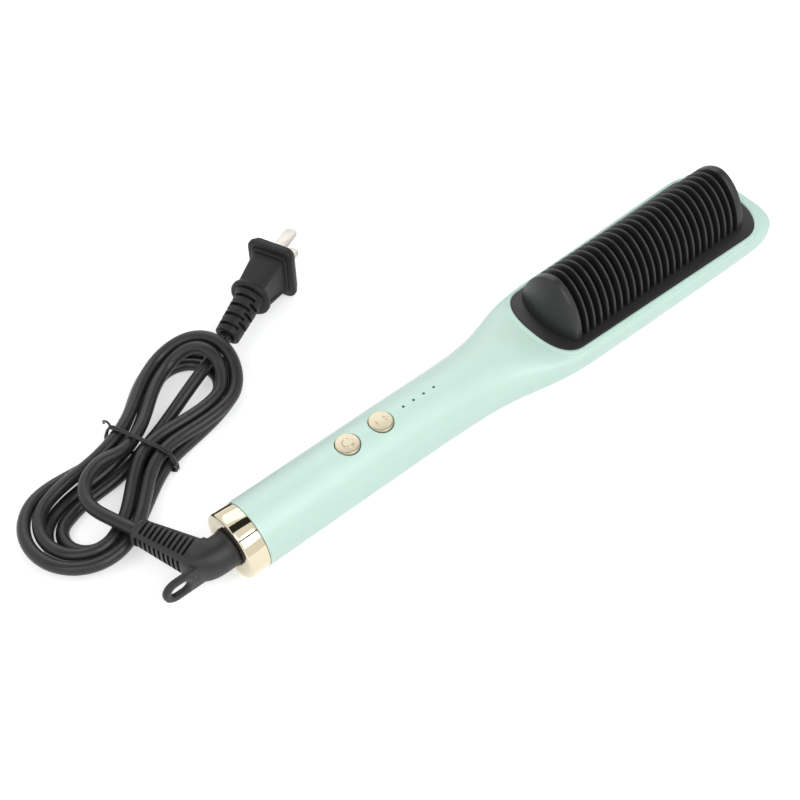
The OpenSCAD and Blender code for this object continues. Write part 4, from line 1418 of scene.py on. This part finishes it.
def plug_point(u, v, z):
    """A point of the plug, with v and z from its own axis."""
    return hank(u, PLUG_TAIL[1] + v, PLUG_Z + z)


def rounded_plate(u, w, h, r, count=7):
    """Points of a round-cornered rectangle across the plug, w wide and h high."""
    points = []
    for cv, cz, start in ((1, 1, 0), (-1, 1, 90), (-1, -1, 180), (1, -1, 270)):
        for i in range(count):
            a = math.radians(start + 90 * i / (count - 1))
            points.append(plug_point(u, cv * (w / 2 - r) + r * math.cos(a),
                                     cz * (h / 2 - r) + r * math.sin(a)))
    return points


def relief_frame():
    """Start and directions of the plug's strain relief, which rises a little towards the plug."""
    start = hank(*PLUG_TAIL)
    end = plug_point(FLANGE_U + 0.2, 0, 0)
    along = (end - start).normalized()
    across = hank_way(0, 1)
    return start, along, across, along.cross(across) * -1


def plug_relief():
    """The plug's round strain relief, cut from alternate sides."""
    start, along, across, up = relief_frame()
    rings = []
    for d, r in RELIEF_PROFILE:
        rings.append([start + along * d * MM + (across * math.cos(a) + up * math.sin(a)) * r * MM
                      for a in (2 * math.pi * i / RELIEF_SIDES for i in range(RELIEF_SIDES))])
    relief = skin("plug_relief", rings)
    count, first, step, length, half = RELIEF_CUTS
    low, high = RELIEF_CUT_R
    ahead = along * length * MM
    cutters = []
    for k in range(count):
        base = start + along * (first + step * k) * MM
        wide, out = (across, up) if k % 2 == 0 else (up, across)
        for s in (-1, 1):
            arc = []
            for i in range(9):
                a = math.radians(-half + 2 * half * i / 8)
                way = out * (s * math.cos(a)) + wide * math.sin(a)
                arc.append([base + way * low * MM, base + way * low * MM + ahead,
                            base + way * high * MM + ahead, base + way * high * MM])
            cutters.append(skin("relief_slot", arc))
    return cut(relief, join("relief_slots", cutters))


def plug_panel(side):
    """Cutter for the recessed panel in one side of the plug's body."""
    rings = []
    for depth, taper in ((-2.0, 0.0), (PANEL_DEPTH, PANEL_TAPER)):
        outline = []
        for u, half in PANEL:
            wide = (BODY_SIZE[0] + BODY_GROWS[0] * u / BODY_L) / 2
            inward = taper if u < BODY_L / 2 else -taper
            outline.append(plug_point(BODY_U + u + inward, side * (wide - depth),
                                      half - math.copysign(taper, half)))
        rings.append(outline)
    return skin("panel_cutter", rings)


class COMB_OT_plug(bpy.types.Operator):
    """Adds the mains plug with its strain relief and blades"""

    bl_idname = "comb.plug"
    bl_label = "Mains plug"

    def execute(self, context):
        relief = plug_relief()
        flange = skin("plug_flange", [
            [plug_point(FLANGE_U + d, r * math.cos(a), r * math.sin(a))
             for a in (2 * math.pi * i / FLANGE_SIDES for i in range(FLANGE_SIDES))]
            for d, r in FLANGE_PROFILE])
        body = skin("plug_core", [
            rounded_plate(BODY_U + d, BODY_SIZE[0] + BODY_GROWS[0] * d / BODY_L,
                          BODY_SIZE[1] + BODY_GROWS[1] * d / BODY_L, r) for d, r in BODY_ROWS])
        for side in (-1, 1):
            cut(body, plug_panel(side))
        step = skin("plug_step", [rounded_plate(FACE_U + d, w, h, r) for d, w, h, r in STEP_ROWS])
        face = skin("plug_face", [rounded_plate(FACE_U + d, w, h, r) for d, w, h, r in FACE_ROWS])
        plug = join("mains_plug", [bevel(body, 0.35, 2, 40), relief, flange, step, face])
        smooth(plug, 38)
        material = grained("plug_rubber", colours().lead, 0.5, grain=1000, bump=0.2, spread=0.07,
                           tint=0.1, specular=0.3)
        finished(plug, "lead", material, ("plug_body",))

        blades = []
        for s in (-1, 1):
            outline = [plug_point(FACE_U + 4.6 + u, v, s * BLADE_OFF - BLADE_T / 2)
                       for u, v in BLADE_OUTLINE]
            blades.append(bevel(slab("plug_blade", outline, UP * BLADE_T * MM), 0.25, 2, 30))
        both = smooth(join("plug_prongs", blades), 30)
        metal = grained("nickel_plate", NICKEL, 0.36, metallic=1.0, grain=700, bump=0.05, tint=0.05,
                        stretch=(0.3, 1, 1))
        finished(both, "lead", metal, ("plug_blades",))
        return {"FINISHED"}


# ---------------------------------------------------------------- finishes of the plain solids

# Slot, colour, roughness, metallic
PLAIN = (
    ("coated_aluminium", (0.02, 0.02, 0.022), 0.2, 0.0),
    ("bare_aluminium", (0.72, 0.72, 0.74), 0.34, 1.0),
    ("heater_ceramic", (0.35, 0.32, 0.3), 0.6, 0.0),
    ("amber_film", (0.75, 0.42, 0.12), 0.25, 0.0),
    ("mica", (0.78, 0.74, 0.62), 0.5, 0.0),
    ("circuit_board", (0.03, 0.22, 0.1), 0.35, 0.0),
    ("component_black", (0.03, 0.03, 0.03), 0.5, 0.0),
    ("component_colour", (0.7, 0.5, 0.08), 0.35, 0.0),
    ("light_pipe", (0.02, 0.09, 0.055), 0.22, 0.0),
    ("insulator", (0.82, 0.78, 0.7), 0.55, 0.0),
    ("contact_brass", (0.78, 0.55, 0.22), 0.25, 1.0),
    ("brush_carbon", (0.06, 0.05, 0.045), 0.6, 0.0),
    ("wire_insulation", (0.5, 0.06, 0.05), 0.4, 0.0),
    ("screw_steel", (0.62, 0.62, 0.63), 0.28, 1.0),
    ("black_plastic", (0.022, 0.022, 0.024), 0.42, 0.0),
    ("black_rubber", (0.018, 0.018, 0.019), 0.5, 0.0),
    ("mint_plastic", MINT, 0.36, 0.0),
    ("champagne_metal", CHAMPAGNE, 0.12, 1.0),
    ("black_cord", SHEATH_BLACK, 0.4, 0.0),
    ("blade_metal", NICKEL, 0.36, 1.0),
)


class COMB_OT_finishes(bpy.types.Operator):
    """Gives each plain solid the finish of its material"""

    bl_idname = "comb.finishes"
    bl_label = "Finishes"

    def execute(self, context):
        finish = {}
        for slot, colour, roughness, metallic in PLAIN:
            finish[slot] = grained("plain_" + slot, colour, roughness, metallic=metallic, bump=0.06,
                                   tint=0.08)
        for part in frame["record"]["subparts"]:
            node = frame["nodes"][part["node"]]
            for place in node.material_slots:
                place.material = finish[part["material_slot"]]
        return {"FINISHED"}


class COMB_PT_panel(bpy.types.Panel):
    """Lists the operators in the sidebar"""

    bl_idname = "COMB_PT_panel"
    bl_label = "Hot Comb"
    bl_space_type = "VIEW_3D"
    bl_region_type = "UI"
    bl_category = "Hot Comb"

    def draw(self, context):
        for group in (context.scene.comb_sizes, context.scene.comb_colours):
            for name in group.__annotations__:
                self.layout.prop(group, name)
        for operator in OPERATORS:
            self.layout.operator(operator.bl_idname)


OPERATORS = (
    COMB_OT_camera, COMB_OT_lead, COMB_OT_finishes, COMB_OT_front_housing, COMB_OT_rear_housing,
    COMB_OT_end_ring, COMB_OT_buttons, COMB_OT_guard, COMB_OT_heated_comb, COMB_OT_boot,
    COMB_OT_hanging_loop, COMB_OT_tie, COMB_OT_plug, COMB_OT_stage,
)
CLASSES = (CombSizes, CombColours) + OPERATORS + (COMB_PT_panel,)


def register():
    for cls in CLASSES:
        bpy.utils.register_class(cls)
    bpy.types.Scene.comb_sizes = PointerProperty(type=CombSizes)
    bpy.types.Scene.comb_colours = PointerProperty(type=CombColours)


def unregister():
    del bpy.types.Scene.comb_colours
    del bpy.types.Scene.comb_sizes
    for cls in reversed(CLASSES):
        bpy.utils.unregister_class(cls)


def main():
    """Registers the classes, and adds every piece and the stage."""
    register()
    bpy.ops.comb.camera()
    bpy.ops.comb.lead()
    bpy.ops.comb.finishes()
    bpy.ops.comb.front_housing()
    bpy.ops.comb.rear_housing()
    bpy.ops.comb.end_ring()
    bpy.ops.comb.buttons()
    bpy.ops.comb.guard()
    bpy.ops.comb.heated_comb()
    bpy.ops.comb.boot()
    bpy.ops.comb.hanging_loop()
    bpy.ops.comb.tie()
    bpy.ops.comb.plug()
    bpy.ops.comb.stage()


if __name__ == "__main__":
    main()
